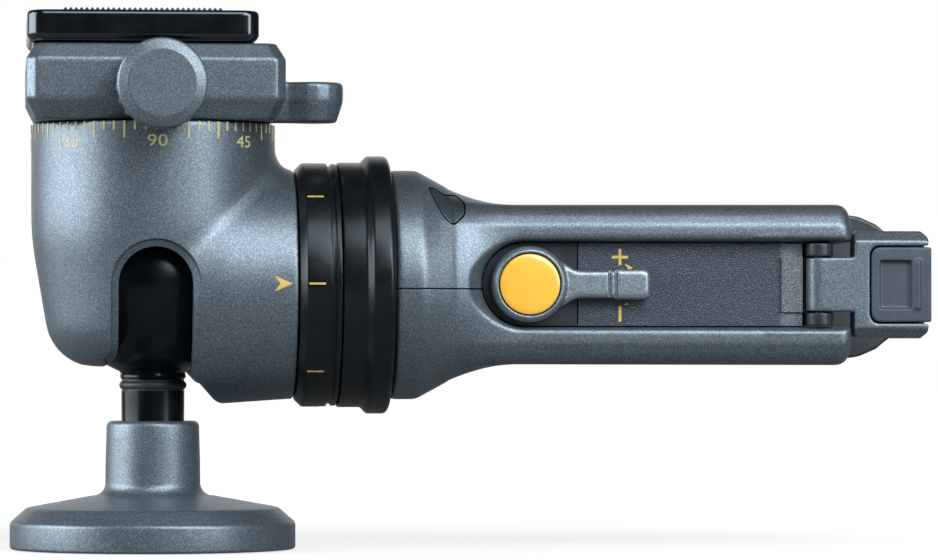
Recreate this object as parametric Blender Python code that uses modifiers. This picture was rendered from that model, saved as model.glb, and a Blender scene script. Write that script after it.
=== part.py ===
"""Squeeze grip ball head for a tripod.

A 40 mm ball on a stem stands on a round base. A cast housing turns and tilts on the ball.
A horizontal grip with a squeeze lever frees a brake shoe that a spring holds on the ball.
A quick release clamp turns on top of the housing.

Sizes are in millimetres and are turned into metres when a mesh is made. The origin is the
centre of the base's underside, +X runs along the grip, +Z is up and the front faces -Y.
"""
import math

import bmesh
import bpy
from mathutils import Matrix, Vector

MM = 0.001

# Clearances
GAP = 0.3
BALL_GAP = 0.35
TURN_GAP = 0.3
MERGE = 0.00002

# Roundness
BIG_STEPS = 36
BALL_STEPS = 32
MID_STEPS = 24
SMALL_STEPS = 16

# Base
BASE_R = 30.8
BASE_BAND = 5.7
BASE_EDGE = 0.5
BASE_CHAMFER_IN = 3.6
BASE_CHAMFER_UP = 3.2
BASE_CONE_UP = 2.6
COLUMN_R = 10.3
COLUMN_TOP_R = 10.0
COLUMN_FILLET = 2.8
COLUMN_RISE = 16.1
COLUMN_EDGE = 1.3
COLUMN_RECESS = 1.5

# Ball and stem, with heights above the column's top
BALL_R = 20.0
BALL_RISE = 29.4
STEM_R = 6.8
STEM_RING_R = 7.25
STEM_RING_RISE = 7.7
STEM_RING_H = 1.8
STEM_RING_DEPTH = 1.2
STEM_BEAD_R = 7.1
STEM_BEAD_RISE = 9.6
STEM_BEAD_H = 0.9

# Tripod thread bush and base screw
SOCKET_R = 4.76
BUSH_R = 6.5
BUSH_LENGTH = 10.0
BUSH_SINK = 0.2
BOLT_R = 3.0
BOLT_HEAD_R = 5.6
BOLT_HEAD_H = 4.4
BOLT_IN_STEM = 10.0
BOLT_HEX_R = 2.9
BOLT_HEX_DEPTH = 2.6

# How far the head tilts on the ball, in degrees
TILT_BACK = 18.0
TILT_FRONT = 90.0
LEAN_LEFT = 20.0
LEAN_RIGHT = 14.0
STEM_CLEAR = 0.4

# Ball seat liner
LINER_GAP = 0.3
LINER_WALL = 1.4
LINER_ANGLE = 42.0

# Housing, with heights above and below the ball's centre
HOUSING_R = 26.3
HOUSING_RISE = 34.5
HOUSING_EDGE = 0.6
HOUSING_TAPER_RISE = 9.2
HOUSING_TAPER = 10.3
HOUSING_ROUND = 11.0
HOUSING_DROP = 17.8
BOSS_IN = 0.6
BOSS_TAPER = 1.0
BOSS_TAPER_X = 14.5
BOSS_END_X = 30.2
BOSS_START_X = 2.0
BOSS_SLANT = 11.1
SADDLE_IN = 3.7
SADDLE_UP = 4.5
SADDLE_INSET = 2.7
NOTCH_CLEAR = 0.65
NOTCH_BEVEL = 1.9
NOTCH_BEVEL_DEPTH = 2.6
NOTCH_BEVEL_START = 3.4

# Handle spindle and brake
SPINDLE_R = 13.0
SPINDLE_BORE = 8.6
SPINDLE_OFF_BALL = 2.6
SPINDLE_PAST_GRIP = 6.0
SPINDLE_NUT_R = 16.6
SPINDLE_NUT_W = 3.6
NUT_ROOM = 0.4
SHOE_THICK = 6.0
ROD_R = 2.5
ROD_DISC_R = 3.9
ROD_DISC_W = 2.0
ROD_IN_SHOE = 2.6
SPRING_R = 5.6
SPRING_WIRE = 1.3
SPRING_TURNS = 5
SPRING_POINTS = 8
SPRING_ROOM = 12.9

# Index ring and lock collar
RING_W = 8.1
RING_OUT = 0.3
RING_CHAMFER = 1.5
RING_STEP = 0.5
RING_STEP_W = 0.8
COLLAR_W = 11.0
COLLAR_FLAT = 4.0
COLLAR_FLARE = 2.7
COLLAR_UP = 1.6
COLLAR_EDGE = 1.1
COLLAR_WALL = 1.2
COLLAR_TRAVEL = 3.0

# Grip, with lengths along it that follow one another
NECK_END = 6.1
NECK_CONE = 6.3
NECK_CONE_DROP = 3.5
NECK_STEP = 0.3
NECK_STEP_W = 0.8
FLARE_LENGTH = 14.6
FLARE_POWER = 1.7
GRIP_HALF = 17.2
GRIP_END_HALF = 17.4
GRIP_FRONT = 17.0
GRIP_CROWN = 0.3
GRIP_BACK = 11.0
GRIP_CREASE = 13.9
GRIP_CORNER = 6.0
GRIP_LENGTH = 99.3
GRIP_END_ROUND = 3.0
SEAM = 0.3
SEAM_DROP = 1.0

# Channel in the front of the grip
CHANNEL_HALF = 9.2
CHANNEL_FLOOR = 11.0
CHANNEL_START = 6.6
PLATE_THICK = 2.2
PLATE_PAST_DIAL = 10.6
PANEL_STRIP_W = 4.6
PANEL_STRIP_HALF = 5.9
PANEL_STRIP_UP = 0.7

# Room inside the grip
BAY_FRONT = 8.0
BAY_BACK = 8.0
BAY_HALF = 13.2
BAY_PAST_TRIGGER = 16.0
BAY_WALL = 8.5
HOLLOW_SHORT = 20.9

# Friction dial
DIAL_IN_CHANNEL = 10.1
DIAL_R = 8.2
DIAL_BEVEL = 1.5
DIAL_PROUD = 5.1
DIAL_DISC_R = 6.5
DIAL_DISC_H = 0.9
DIAL_SHAFT_R = 2.0
DIAL_SHAFT_IN = 4.5
LEVER_HALF = 3.0
LEVER_LENGTH = 26.1
LEVER_PAD_LENGTH = 7.6
LEVER_PAD_HALF = 3.3
LEVER_PROUD = 3.4
LEVER_PAD_UP = 0.4
LEVER_GROOVE = 0.7
DIAL_SWING = 12.0

# Pivot cover on the upper shell
COVER_PAST_CONE = 2.0
COVER_Z = 21.0
COVER_LENGTH = 7.6
COVER_HEIGHT = 8.4
COVER_DEPTH = 4.0

# Trigger, drawn squeezed and then let out by its travel
TRIGGER_PAST_SPINDLE = 11.0
TRIGGER_Y = -4.0
TRIGGER_TRAVEL = 7.0
TRIGGER_PIN_R = 1.5
TRIGGER_PIN_HALF = 15.0
TRIGGER_HUB_R = 3.6
CHEEK_IN = 4.5
CHEEK_OUT = 7.5
TRIGGER_INNER = 15.6
TRIGGER_THICK = 3.6
TRIGGER_START = 10.0
TRIGGER_NECK_HALF = 8.0
TRIGGER_WIDE_X = 30.0
TRIGGER_HALF = 16.2
TRIGGER_TIP_OUT = 6.2
RUBBER_THICK = 3.0
RUBBER_START = 15.0
RUBBER_INSET = 0.6
RIB_PITCH = 5.0
RIB_WIDTH = 2.2
RIB_DEPTH = 0.9
SLOT_BEFORE_TRIGGER = 2.0
SLOT_PAST_TRIGGER = 25.5
SLOT_HALF = 8.7
NOSE_W = 1.8
NOSE_GAP = 0.6

# Shell screws
SHELL_SCREW_PAST_BAY = 4.2
SHELL_SCREW_PAST_HOLLOW = 4.5
SHELL_SCREW_Y = -3.5
SHELL_SCREW_R = 1.4
SHELL_SCREW_HEAD_R = 2.4
SHELL_SCREW_HEAD_H = 1.6
SHELL_SCREW_SINK = 4.0
SHELL_SCREW_UP = 8.0

# Release arm at the end of the grip
HINGE_IN = 7.1
HINGE_Y = -14.4
HUB_R = 2.9
EAR_R = 3.1
EAR_IN = 6.1
EAR_OUT = 8.9
HINGE_PIN_R = 1.0
BLOCK_PAST_HINGE = 3.3
BLOCK_BEFORE_HINGE = 2.95
BLOCK_DEPTH = 4.0
BLOCK_GAP = 0.25
ARM_HALF = 5.8
ARM_FRONT = 17.2
ARM_BACK = 12.4
FRAME_LENGTH = 16.15
FRAME_HALF = 11.6
FRAME_BACK = 10.2
FRAME_BAR = 3.2
FRAME_ROOT = 3.6
FRAME_FLOOR = 1.6
FRAME_CHAMFER = 1.4
PAD_PROUD = 0.6
PAD_TRAVEL = 1.2
PAD_RADIUS = 1.8
PAD_DIP_IN = 1.9
PAD_DIP_LENGTH = 6.8
PAD_DIP_HALF = 5.2
PAD_DIP = 1.2
PAD_RIDGE_IN = 0.8
PAD_RIDGE_W = 1.2
PAD_RIDGE_UP = 0.6
ARM_SWING = 90.0

# Pan joint
PAN_GAP = 0.3
PAN_BOLT_R = 4.0
PAN_BOLT_HEAD_R = 7.5
PAN_BOLT_HEAD_H = 3.4
PAN_BOLT_IN = 8.5
PAN_SEAT_UP = 4.6
CLICK_IN = 14.0
CLICK_OUT = 22.0
CLICK_DEPTH = 2.0
CLICK_TEETH = 12

# Clamp, with heights above its own foot
CLAMP_HALF_X = 27.5
CLAMP_HALF_Y = 25.0
CLAMP_FOOT_X = 25.3
CLAMP_FOOT_Y = 22.6
CLAMP_CREASE_UP = 4.4
CLAMP_BEVEL_UP = 12.8
CLAMP_BEVEL_IN = 2.6
CLAMP_FLOOR_UP = 12.7
CLAMP_TOP_UP = 16.3
CLAMP_CORNER = 2.0
JAW_BACK_Y = 13.5
JAW_TRAVEL = 3.0
DOVE_HALF = 19.0
DOVE_LIP = 1.4
DOVE_UNDERCUT = 2.5
SCREW_R = 3.0
SCREW_UP = 7.0
SCREW_SIDE = 0.8
SCREW_IN = 24.0
SCREW_PITCH = 1.25
PIN_R = 1.5
PIN_X = 19.0
PIN_IN = 10.0
PIN_IN_JAW = 6.0

# Clamp knob
KNOB_OUT = 15.0
KNOB_R = 9.5
KNOB_FLAT_R = 7.1
KNOB_CONE = 0.9
KNOB_BACK_R = 9.6
KNOB_KNURLS = 20
KNOB_KNURL_DEPTH = 0.55
KNOB_FRONT_H = 3.2
KNOB_COLLAR_W = 1.4
KNOB_COLLAR_R = 5.5

# Level tab on the clamp
TAB_REACH = 13.7
TAB_HALF = 6.6
TAB_NECK_HALF = 4.6
TAB_NECK_W = 2.6
TAB_TOP_UP = 9.0
TAB_BOTTOM_UP = 0.3
TAB_EDGE = 0.6
VIAL_R = 4.3
VIAL_H = 3.2
VIAL_PROUD = 0.4

# Quick release plate
PLATE_LENGTH = 49.2
PLATE_SHIFT = -2.7
PLATE_HALF_Y = 24.0
PLATE_OVER_CLAMP = 0.3
PLATE_H = 6.6
PLATE_EDGE = 0.6
PLATE_CORNER = 3.0
PLATE_SLIDE = 9.0
PAD_RECESS_X = 17.3
PAD_RECESS_Y = 20.5
PAD_BASE_H = 0.8
PAD_RIDGES = 22
PAD_RIDGE_WIDE = 0.8
PAD_RIDGE_H = 0.5
CAMERA_SCREW_R = 3.1
CAMERA_SCREW_UP = 0.8
CAMERA_HEAD_R = 6.8
CAMERA_HEAD_H = 2.6
CAMERA_HEAD_SINK = 1.2
CAMERA_SLOT_W = 1.6
CAMERA_SLOT_H = 1.2
STOP_SCREW_R = 1.5
STOP_SCREW_X = 21.0
STOP_SCREW_H = 3.0

# Places that follow from the sizes above, from the floor up
COLUMN_TOP = BASE_BAND + BASE_CHAMFER_UP + BASE_CONE_UP + COLUMN_RISE
BALL_Z = COLUMN_TOP + BALL_RISE
STEM_RING_Z = COLUMN_TOP + STEM_RING_RISE
STEM_BEAD_Z = COLUMN_TOP + STEM_BEAD_RISE
BOLT_HEAD_Z = BUSH_LENGTH + 2 * GAP
HOUSING_TOP = BALL_Z + HOUSING_RISE
HOUSING_TAPER_Z = BALL_Z + HOUSING_TAPER_RISE
HOUSING_BOTTOM = BALL_Z - HOUSING_DROP
CLAMP_Z = HOUSING_TOP + PAN_GAP
CLAMP_CREASE_Z = CLAMP_Z + CLAMP_CREASE_UP
CLAMP_BEVEL_Z = CLAMP_Z + CLAMP_BEVEL_UP
CLAMP_FLOOR_Z = CLAMP_Z + CLAMP_FLOOR_UP
CLAMP_TOP_Z = CLAMP_Z + CLAMP_TOP_UP
SCREW_Z = CLAMP_Z + SCREW_UP
TAB_TOP = CLAMP_Z + TAB_TOP_UP
TAB_BOTTOM = CLAMP_Z + TAB_BOTTOM_UP
DOVE_Z = CLAMP_FLOOR_Z + GAP
PLATE_SIDE_Z = CLAMP_TOP_Z + PLATE_OVER_CLAMP
PLATE_TOP_Z = PLATE_SIDE_Z + PLATE_H

# Places along the grip
BOSS_R = HOUSING_R - BOSS_IN
BOSS_END_R = BOSS_R - BOSS_TAPER
NOTCH_HALF = STEM_RING_R + NOTCH_CLEAR
RING_R = HOUSING_R + RING_OUT
RING_STEP_R = RING_R - RING_STEP
COLLAR_R = HOUSING_R + COLLAR_UP
NECK_R = HOUSING_R - GAP - COLLAR_WALL
RING_X = BOSS_END_X + TURN_GAP
COLLAR_X = RING_X + RING_W + RING_STEP_W + GAP
GRIP_X = COLLAR_X + COLLAR_W + GAP
CONE_X = GRIP_X + NECK_END
CREASE_X = CONE_X + NECK_CONE
FLARE_END_X = CREASE_X + FLARE_LENGTH
GRIP_END_X = GRIP_X + GRIP_LENGTH
SPINDLE_START_X = BALL_R + SPINDLE_OFF_BALL
SHOE_X = BALL_R + SHOE_THICK
SPINDLE_SEAT_X = SHOE_X + SPRING_ROOM
SPINDLE_END_X = GRIP_X + SPINDLE_PAST_GRIP
TRIGGER_X = SPINDLE_END_X + TRIGGER_PAST_SPINDLE
BAY_END_X = TRIGGER_X + BAY_PAST_TRIGGER
HOLLOW_START_X = BAY_END_X + BAY_WALL
HOLLOW_END_X = GRIP_END_X - HOLLOW_SHORT
CHANNEL_LEFT_X = CREASE_X + CHANNEL_START
DIAL_X = CHANNEL_LEFT_X + DIAL_IN_CHANNEL
LEVER_TIP_X = DIAL_X + LEVER_LENGTH
PLATE_SPLIT_X = DIAL_X + PLATE_PAST_DIAL
HINGE_X = GRIP_END_X - HINGE_IN
BLOCK_START_X = HINGE_X - BLOCK_BEFORE_HINGE
BLOCK_END_X = HINGE_X + BLOCK_PAST_HINGE
PANEL_END_X = BLOCK_START_X - GAP
FRAME_START_X = GRIP_END_X + GAP
FRAME_END_X = FRAME_START_X + FRAME_LENGTH
PAD_START_X = FRAME_START_X + FRAME_ROOT
PAD_END_X = FRAME_END_X + PAD_PROUD
COVER_X = CONE_X + COVER_PAST_CONE
TRIGGER_TIP_X = GRIP_END_X - TRIGGER_X + TRIGGER_TIP_OUT
SHELL_SCREW_XS = (BAY_END_X + SHELL_SCREW_PAST_BAY, HOLLOW_END_X + SHELL_SCREW_PAST_HOLLOW)

# Depths in the front, and radii
LINER_IN = BALL_R + LINER_GAP
LINER_OUT = LINER_IN + LINER_WALL
PLATE_FRONT = CHANNEL_FLOOR + GAP + PLATE_THICK
PLATE_HALF = CHANNEL_HALF - GAP
DOVE_TOP_HALF = DOVE_HALF - DOVE_UNDERCUT
BRAKE_TRAVEL = -TRIGGER_Y * math.radians(TRIGGER_TRAVEL)
KNOB_FACE_Y = CLAMP_HALF_Y + KNOB_OUT
KNOB_BACK_Y = CLAMP_HALF_Y + TURN_GAP + KNOB_COLLAR_W

PARTS = {}
AXES = {}


# Scene and materials

def clear_scene():
    for obj in list(bpy.data.objects):
        bpy.data.objects.remove(obj, do_unlink=True)


def make_collection(name):
    found = bpy.data.collections.get(name)
    if found is None:
        found = bpy.data.collections.new(name)
        bpy.context.scene.collection.children.link(found)
    return found


def make_material(name, colour, roughness, metallic):
    mat = bpy.data.materials.new(name)
    mat.use_nodes = True
    shader = mat.node_tree.nodes["Principled BSDF"]
    shader.inputs["Base Color"].default_value = (*colour, 1.0)
    shader.inputs["Roughness"].default_value = roughness
    shader.inputs["Metallic"].default_value = metallic
    mat.diffuse_color = (*colour, 1.0)
    return mat


LOOKS = {
    "body_paint": ((0.115, 0.130, 0.135), 0.50, 0.3),
    "satin_black": ((0.012, 0.013, 0.016), 0.30, 0.2),
    "ball_black": ((0.010, 0.010, 0.012), 0.18, 0.3),
    "plate_black": ((0.015, 0.015, 0.018), 0.28, 0.4),
    "black_rubber": ((0.018, 0.019, 0.020), 0.75, 0.0),
    "panel_grain": ((0.022, 0.024, 0.028), 0.60, 0.0),
    "pad_rubber": ((0.035, 0.045, 0.055), 0.70, 0.0),
    "signal_yellow": ((0.90, 0.42, 0.04), 0.35, 0.0),
    "steel": ((0.45, 0.45, 0.46), 0.30, 1.0),
    "brass": ((0.55, 0.40, 0.16), 0.35, 1.0),
    "white_plastic": ((0.75, 0.74, 0.70), 0.45, 0.0),
    "level_green": ((0.35, 0.65, 0.10), 0.10, 0.0),
}


# Building tools

def finish_mesh(name, bm, cutter=False):
    """Turn millimetres into metres and put the mesh in a collection."""
    bmesh.ops.scale(bm, vec=(MM, MM, MM), verts=bm.verts)
    bmesh.ops.recalc_face_normals(bm, faces=bm.faces)
    mesh = bpy.data.meshes.new(name)
    bm.to_mesh(mesh)
    bm.free()
    obj = bpy.data.objects.new(name, mesh)
    place(obj, cutter)
    return obj


def place(obj, cutter=False):
    make_collection("cutters" if cutter else "squeeze_grip_ball_head").objects.link(obj)
    if cutter:
        obj.hide_render = True
        obj.display_type = "WIRE"


def part(obj, look):
    """Give a part its own material and smooth shading, and remember it."""
    colour, roughness, metallic = LOOKS[look]
    obj.data.materials.clear()
    obj.data.materials.append(make_material(obj.name + "_" + look, colour, roughness, metallic))
    obj.data.shade_smooth()
    obj.data.set_sharp_from_angle(angle=math.radians(35))
    PARTS[obj.name] = obj
    return obj


def modify(obj, tool, operation):
    mod = obj.modifiers.new(tool.name, "BOOLEAN")
    mod.operation = operation
    mod.solver = "EXACT"
    mod.object = tool


def cut(obj, *tools):
    for tool in tools:
        modify(obj, tool, "DIFFERENCE")


def join(obj, *tools):
    for tool in tools:
        modify(obj, tool, "UNION")


def keep(obj, tool):
    modify(obj, tool, "INTERSECT")


def round_edges(obj, width, segments=2, angle=40):
    mod = obj.modifiers.new("round", "BEVEL")
    mod.width = width * MM
    mod.segments = segments
    mod.limit_method = "ANGLE"
    mod.angle_limit = math.radians(angle)
    return mod


TURN_TO = {
    "Z": (0.0, 0.0, 0.0),
    "X": (0.0, math.radians(90), 0.0),
    "-Y": (math.radians(90), 0.0, 0.0),
}


def turned(name, profile, at=(0, 0, 0), axis="Z", steps=BIG_STEPS, closed=False, cutter=False):
    """Turn a profile of (radius, height) points, given down its outer side, round an axis."""
    mesh = bpy.data.meshes.new(name)
    points = [(r * MM, 0.0, h * MM) for r, h in profile]
    links = [(i, i + 1) for i in range(len(points) - 1)]
    if closed:
        links.append((len(points) - 1, 0))
    mesh.from_pydata(points, links, [])
    obj = bpy.data.objects.new(name, mesh)
    place(obj, cutter)
    obj.location = [c * MM for c in at]
    obj.rotation_euler = TURN_TO[axis]
    screw = obj.modifiers.new("turn", "SCREW")
    screw.steps = steps
    screw.render_steps = steps
    screw.use_merge_vertices = True
    screw.merge_threshold = MERGE
    return obj


def arc(centre, radius, start, end, steps):
    """Points on an arc, with angles in degrees from the first axis."""
    found = []
    for i in range(steps + 1):
        angle = math.radians(start + (end - start) * i / steps)
        found.append((centre[0] + radius * math.cos(angle), centre[1] + radius * math.sin(angle)))
    return found


def ball_arc(radius, start, end, steps):
    """Points on a sphere's outline by the angle from its top, in degrees."""
    found = []
    for i in range(steps + 1):
        angle = math.radians(start + (end - start) * i / steps)
        found.append((max(radius * math.sin(angle), 0.0), radius * math.cos(angle)))
    return found


def lofted(name, sections, cutter=False):
    """Join a row of outlines that have the same number of points into one closed body."""
    bm = bmesh.new()
    loops = []
    for outline in sections:
        verts = [bm.verts.new(point) for point in outline]
        edges = [bm.edges.new((verts[i - 1], verts[i])) for i in range(len(verts))]
        loops.append((verts, edges))
    for (verts_a, _), (verts_b, _) in zip(loops, loops[1:]):
        count = len(verts_a)
        for i in range(count):
            bm.faces.new((verts_a[i - 1], verts_a[i], verts_b[i], verts_b[i - 1]))
    bm.faces.new(loops[0][0])
    bm.faces.new(loops[-1][0])
    bmesh.ops.connect_verts_nonplanar(bm, angle_limit=0.0001, faces=bm.faces)
    return finish_mesh(name, bm, cutter)


PLANES = {
    "XY": lambda a, b, c: (a, b, c),
    "XZ": lambda a, b, c: (a, c, b),
    "YZ": lambda a, b, c: (c, a, b),
}


def extruded(name, outline, low, high, plane="XY", cutter=False):
    """Give a flat outline a thickness from low to high across its plane."""
    to_space = PLANES[plane]
    sections = [[to_space(a, b, level) for a, b in outline] for level in (low, high)]
    return lofted(name, sections, cutter)


def box(name, low, high, cutter=False):
    bm = bmesh.new()
    bmesh.ops.create_cube(bm, size=1.0)
    size = [h - l for l, h in zip(low, high)]
    middle = [(h + l) / 2 for l, h in zip(low, high)]
    bmesh.ops.scale(bm, vec=size, verts=bm.verts)
    bmesh.ops.translate(bm, vec=middle, verts=bm.verts)
    return finish_mesh(name, bm, cutter)


def cylinder(name, radius, start, end, steps=SMALL_STEPS, cutter=False, end_radius=None):
    """A cylinder, or a cone, between two points."""
    start, end = Vector(start), Vector(end)
    run = end - start
    bm = bmesh.new()
    bmesh.ops.create_cone(bm, cap_ends=True, segments=steps, radius1=radius,
                          radius2=radius if end_radius is None else end_radius,
                          depth=run.length)
    turn = run.to_track_quat("Z", "Y").to_matrix().to_4x4()
    matrix = Matrix.Translation((start + end) / 2) @ turn
    bmesh.ops.transform(bm, matrix=matrix, verts=bm.verts)
    return finish_mesh(name, bm, cutter)


def hull(name, points, cutter=False):
    """The convex body round a set of points."""
    bm = bmesh.new()
    for point in points:
        bm.verts.new(point)
    result = bmesh.ops.convex_hull(bm, input=bm.verts)
    spare = [v for v in result["geom_interior"] if isinstance(v, bmesh.types.BMVert)]
    bmesh.ops.delete(bm, geom=spare, context="VERTS")
    bmesh.ops.dissolve_limit(bm, angle_limit=math.radians(0.5), verts=bm.verts, edges=bm.edges)
    return finish_mesh(name, bm, cutter)


def joint_axis(name, at, parent=None, travel=None):
    """An empty on a joint's axis that carries the pieces that move with it.

    Its travel is kept on it in degrees or millimetres, and a joint without one turns for ever.
    """
    empty = bpy.data.objects.new(name, None)
    make_collection("squeeze_grip_ball_head").objects.link(empty)
    empty.empty_display_size = 5 * MM
    empty.location = [c * MM for c in at]
    if travel:
        empty["travel"] = travel
    AXES[name] = empty
    if parent:
        hang(empty, AXES[parent])
    return empty


def hang(obj, carrier):
    bpy.context.view_layer.update()
    obj.parent = carrier
    obj.matrix_parent_inverse = carrier.matrix_world.inverted()


def carry(axis, *names):
    for name in names:
        hang(PARTS[name], AXES[axis])


# Base, ball and stem

def base_profile():
    low_bore = BUSH_R + GAP
    head_bore = BOLT_HEAD_R + GAP
    hole = BOLT_R + GAP
    cone_r = COLUMN_R + COLUMN_FILLET
    cone_z = BASE_BAND + BASE_CHAMFER_UP + BASE_CONE_UP
    recess = STEM_R + GAP
    points = [(hole, COLUMN_TOP - COLUMN_RECESS), (recess, COLUMN_TOP - COLUMN_RECESS), (recess, COLUMN_TOP)]
    points += arc((COLUMN_TOP_R - COLUMN_EDGE, COLUMN_TOP - COLUMN_EDGE), COLUMN_EDGE, 90, 0, 2)
    points += arc((cone_r, cone_z + COLUMN_FILLET), COLUMN_FILLET, 180, 270, 3)
    points += [
        (BASE_R - BASE_CHAMFER_IN, BASE_BAND + BASE_CHAMFER_UP),
        (BASE_R, BASE_BAND),
        (BASE_R, BASE_EDGE),
        (BASE_R - BASE_EDGE, 0.0),
        (low_bore, 0.0),
        (low_bore, BUSH_LENGTH + GAP),
        (head_bore, BUSH_LENGTH + GAP),
        (head_bore, BOLT_HEAD_Z + BOLT_HEAD_H + GAP),
        (hole, BOLT_HEAD_Z + BOLT_HEAD_H + GAP),
    ]
    return points


def make_base():
    part(turned("base_plate", base_profile(), closed=True), "body_paint")
    bush = [(SOCKET_R, BUSH_LENGTH), (BUSH_R, BUSH_LENGTH), (BUSH_R, BUSH_SINK), (SOCKET_R, BUSH_SINK)]
    part(turned("tripod_bush", bush, steps=MID_STEPS, closed=True), "steel")
    bolt_top = COLUMN_TOP - COLUMN_RECESS + GAP + BOLT_IN_STEM
    head_top = BOLT_HEAD_Z + BOLT_HEAD_H
    profile = [(0, bolt_top), (BOLT_R, bolt_top), (BOLT_R, head_top), (BOLT_HEAD_R, head_top),
               (BOLT_HEAD_R, BOLT_HEAD_Z), (0, BOLT_HEAD_Z)]
    bolt = turned("base_bolt", profile, steps=SMALL_STEPS)
    hexagon = cylinder("hex_socket", BOLT_HEX_R, (0, 0, BOLT_HEAD_Z - 1),
                       (0, 0, BOLT_HEAD_Z + BOLT_HEX_DEPTH), steps=6, cutter=True)
    cut(bolt, hexagon)
    part(bolt, "steel")


def make_ball():
    stem_bottom = COLUMN_TOP - COLUMN_RECESS + GAP
    neck_angle = 180 - math.degrees(math.asin(STEM_R / BALL_R))
    points = [(r, BALL_Z + h) for r, h in ball_arc(BALL_R, 0, neck_angle, 14)]
    seat_r = STEM_R - STEM_RING_DEPTH
    seat_top = STEM_RING_Z + STEM_RING_H / 2 + GAP
    seat_bottom = STEM_RING_Z - STEM_RING_H / 2 - GAP
    bead_low, bead_high = STEM_BEAD_Z - STEM_BEAD_H / 2, STEM_BEAD_Z + STEM_BEAD_H / 2
    hole = BOLT_R + GAP
    hole_top = stem_bottom + BOLT_IN_STEM + GAP
    points += [
        (STEM_R, bead_high),
        (STEM_BEAD_R, STEM_BEAD_Z),
        (STEM_R, bead_low),
        (STEM_R, seat_top),
        (seat_r, seat_top),
        (seat_r, seat_bottom),
        (STEM_R, seat_bottom),
        (STEM_R, stem_bottom),
        (hole, stem_bottom),
        (hole, hole_top),
        (0, hole_top),
    ]
    part(turned("ball_and_stem", points, steps=BALL_STEPS), "ball_black")


def make_stem_ring():
    inner = STEM_R - STEM_RING_DEPTH + GAP
    bulge = [(STEM_RING_R - STEM_RING_H / 2 + r, z)
             for r, z in arc((0, STEM_RING_Z), STEM_RING_H / 2, 90, -90, 6)]
    points = [(inner, STEM_RING_Z + STEM_RING_H / 2)] + bulge + [(inner, STEM_RING_Z - STEM_RING_H / 2)]
    part(turned("stem_ring", points, steps=MID_STEPS, closed=True), "black_rubber")


def make_liner():
    outer = [(r, BALL_Z + h) for r, h in ball_arc(LINER_OUT, 0, LINER_ANGLE, 4)]
    inner = [(r, BALL_Z + h) for r, h in ball_arc(LINER_IN, LINER_ANGLE, 0, 4)]
    part(turned("ball_seat_liner", outer + inner, steps=MID_STEPS), "white_plastic")


# Housing

def housing_body():
    taper = math.radians(HOUSING_TAPER)
    round_z = HOUSING_BOTTOM + HOUSING_ROUND
    line_r = HOUSING_R - (HOUSING_TAPER_Z - round_z) * math.tan(taper)
    round_r = line_r - HOUSING_ROUND / math.cos(taper)
    points = [
        (0, HOUSING_TOP),
        (HOUSING_R - HOUSING_EDGE, HOUSING_TOP),
        (HOUSING_R, HOUSING_TOP - HOUSING_EDGE),
        (HOUSING_R, HOUSING_TAPER_Z),
    ]
    points += arc((round_r, round_z), HOUSING_ROUND, -HOUSING_TAPER, -90, 6)
    points.append((0, HOUSING_BOTTOM))
    return turned("head_housing", points)


def housing_boss():
    points = [(0, BOSS_END_X), (BOSS_END_R, BOSS_END_X), (BOSS_R, BOSS_TAPER_X),
              (BOSS_R, BOSS_START_X), (0, BOSS_START_X)]
    boss = turned("boss", points, at=(0, 0, BALL_Z), axis="X", cutter=True)
    reach = 3 * BOSS_R
    corner = BALL_Z - BOSS_SLANT
    slant = [(-reach, corner + reach), (-reach, -reach), (corner + reach, -reach)]
    cut(boss, extruded("boss_slant", slant, -reach, reach, plane="XZ", cutter=True))
    return boss


def saddle_fillet():
    """The rounded inner corner between the upright body and the boss, one slice for each y."""
    sections = []
    slices = 14
    reach = BOSS_END_R - SADDLE_INSET
    for i in range(slices + 1):
        y = reach * (2 * i / slices - 1)
        fade = math.sqrt(max(1 - (y / reach) ** 2, 0.01))
        x = math.sqrt(HOUSING_R ** 2 - y ** 2)
        z = BALL_Z + math.sqrt(BOSS_END_R ** 2 - y ** 2)
        across, up = SADDLE_IN * fade, SADDLE_UP * fade
        outline = [(x - 1.5, z - 1.5), (x - 1.5, z + up)]
        for angle in (180, 202.5, 225, 247.5, 270):
            turn = math.radians(angle)
            outline.append((x + across + across * math.cos(turn), z + up + up * math.sin(turn)))
        outline.append((x + across, z - 1.5))
        sections.append([(a, y, b) for a, b in outline])
    return lofted("saddle_fillet", sections, cutter=True)


def stem_sweep():
    """The room that the tilting stem needs, from its four furthest corners."""
    clear = (STEM_RING_R + STEM_CLEAR) / math.cos(math.pi / 16)
    points = []
    for tilt in (-TILT_BACK, 0.0):
        for lean in (-LEAN_LEFT, LEAN_RIGHT):
            a, b = math.radians(tilt), math.radians(lean)
            down = Vector((math.cos(a) * math.sin(b), -math.sin(a), -math.cos(a) * math.cos(b)))
            side = down.orthogonal().normalized()
            other = down.cross(side)
            for reach in (0.4 * BALL_R, 2 * BALL_R):
                for i in range(16):
                    turn = 2 * math.pi * i / 16
                    offset = side * math.cos(turn) * clear + other * math.sin(turn) * clear
                    points.append(Vector((0, 0, BALL_Z)) + down * reach + offset)
    return hull("stem_sweep", points, cutter=True)


def notch_outline(half):
    points = arc((0, BALL_Z), half, 0, 180, 12)
    return points + [(-half, HOUSING_BOTTOM - 12), (half, HOUSING_BOTTOM - 12)]


def drop_notch():
    """The notch for the stem, and the rounded bevel round its mouth."""
    notch = extruded("drop_notch", notch_outline(NOTCH_HALF), -HOUSING_R - 4, 0.0, plane="XZ", cutter=True)
    inner = NOTCH_BEVEL_START - HOUSING_R
    sections = []
    for out, wide in ((1.2, 1.6), (0.65, 0.75), (0.3, 0.28), (0.0, -0.05)):
        y = inner - NOTCH_BEVEL_DEPTH * out
        sections.append([(a, y, b) for a, b in notch_outline(NOTCH_HALF + NOTCH_BEVEL * wide)])
    return notch, lofted("notch_bevel", sections, cutter=True)


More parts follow.
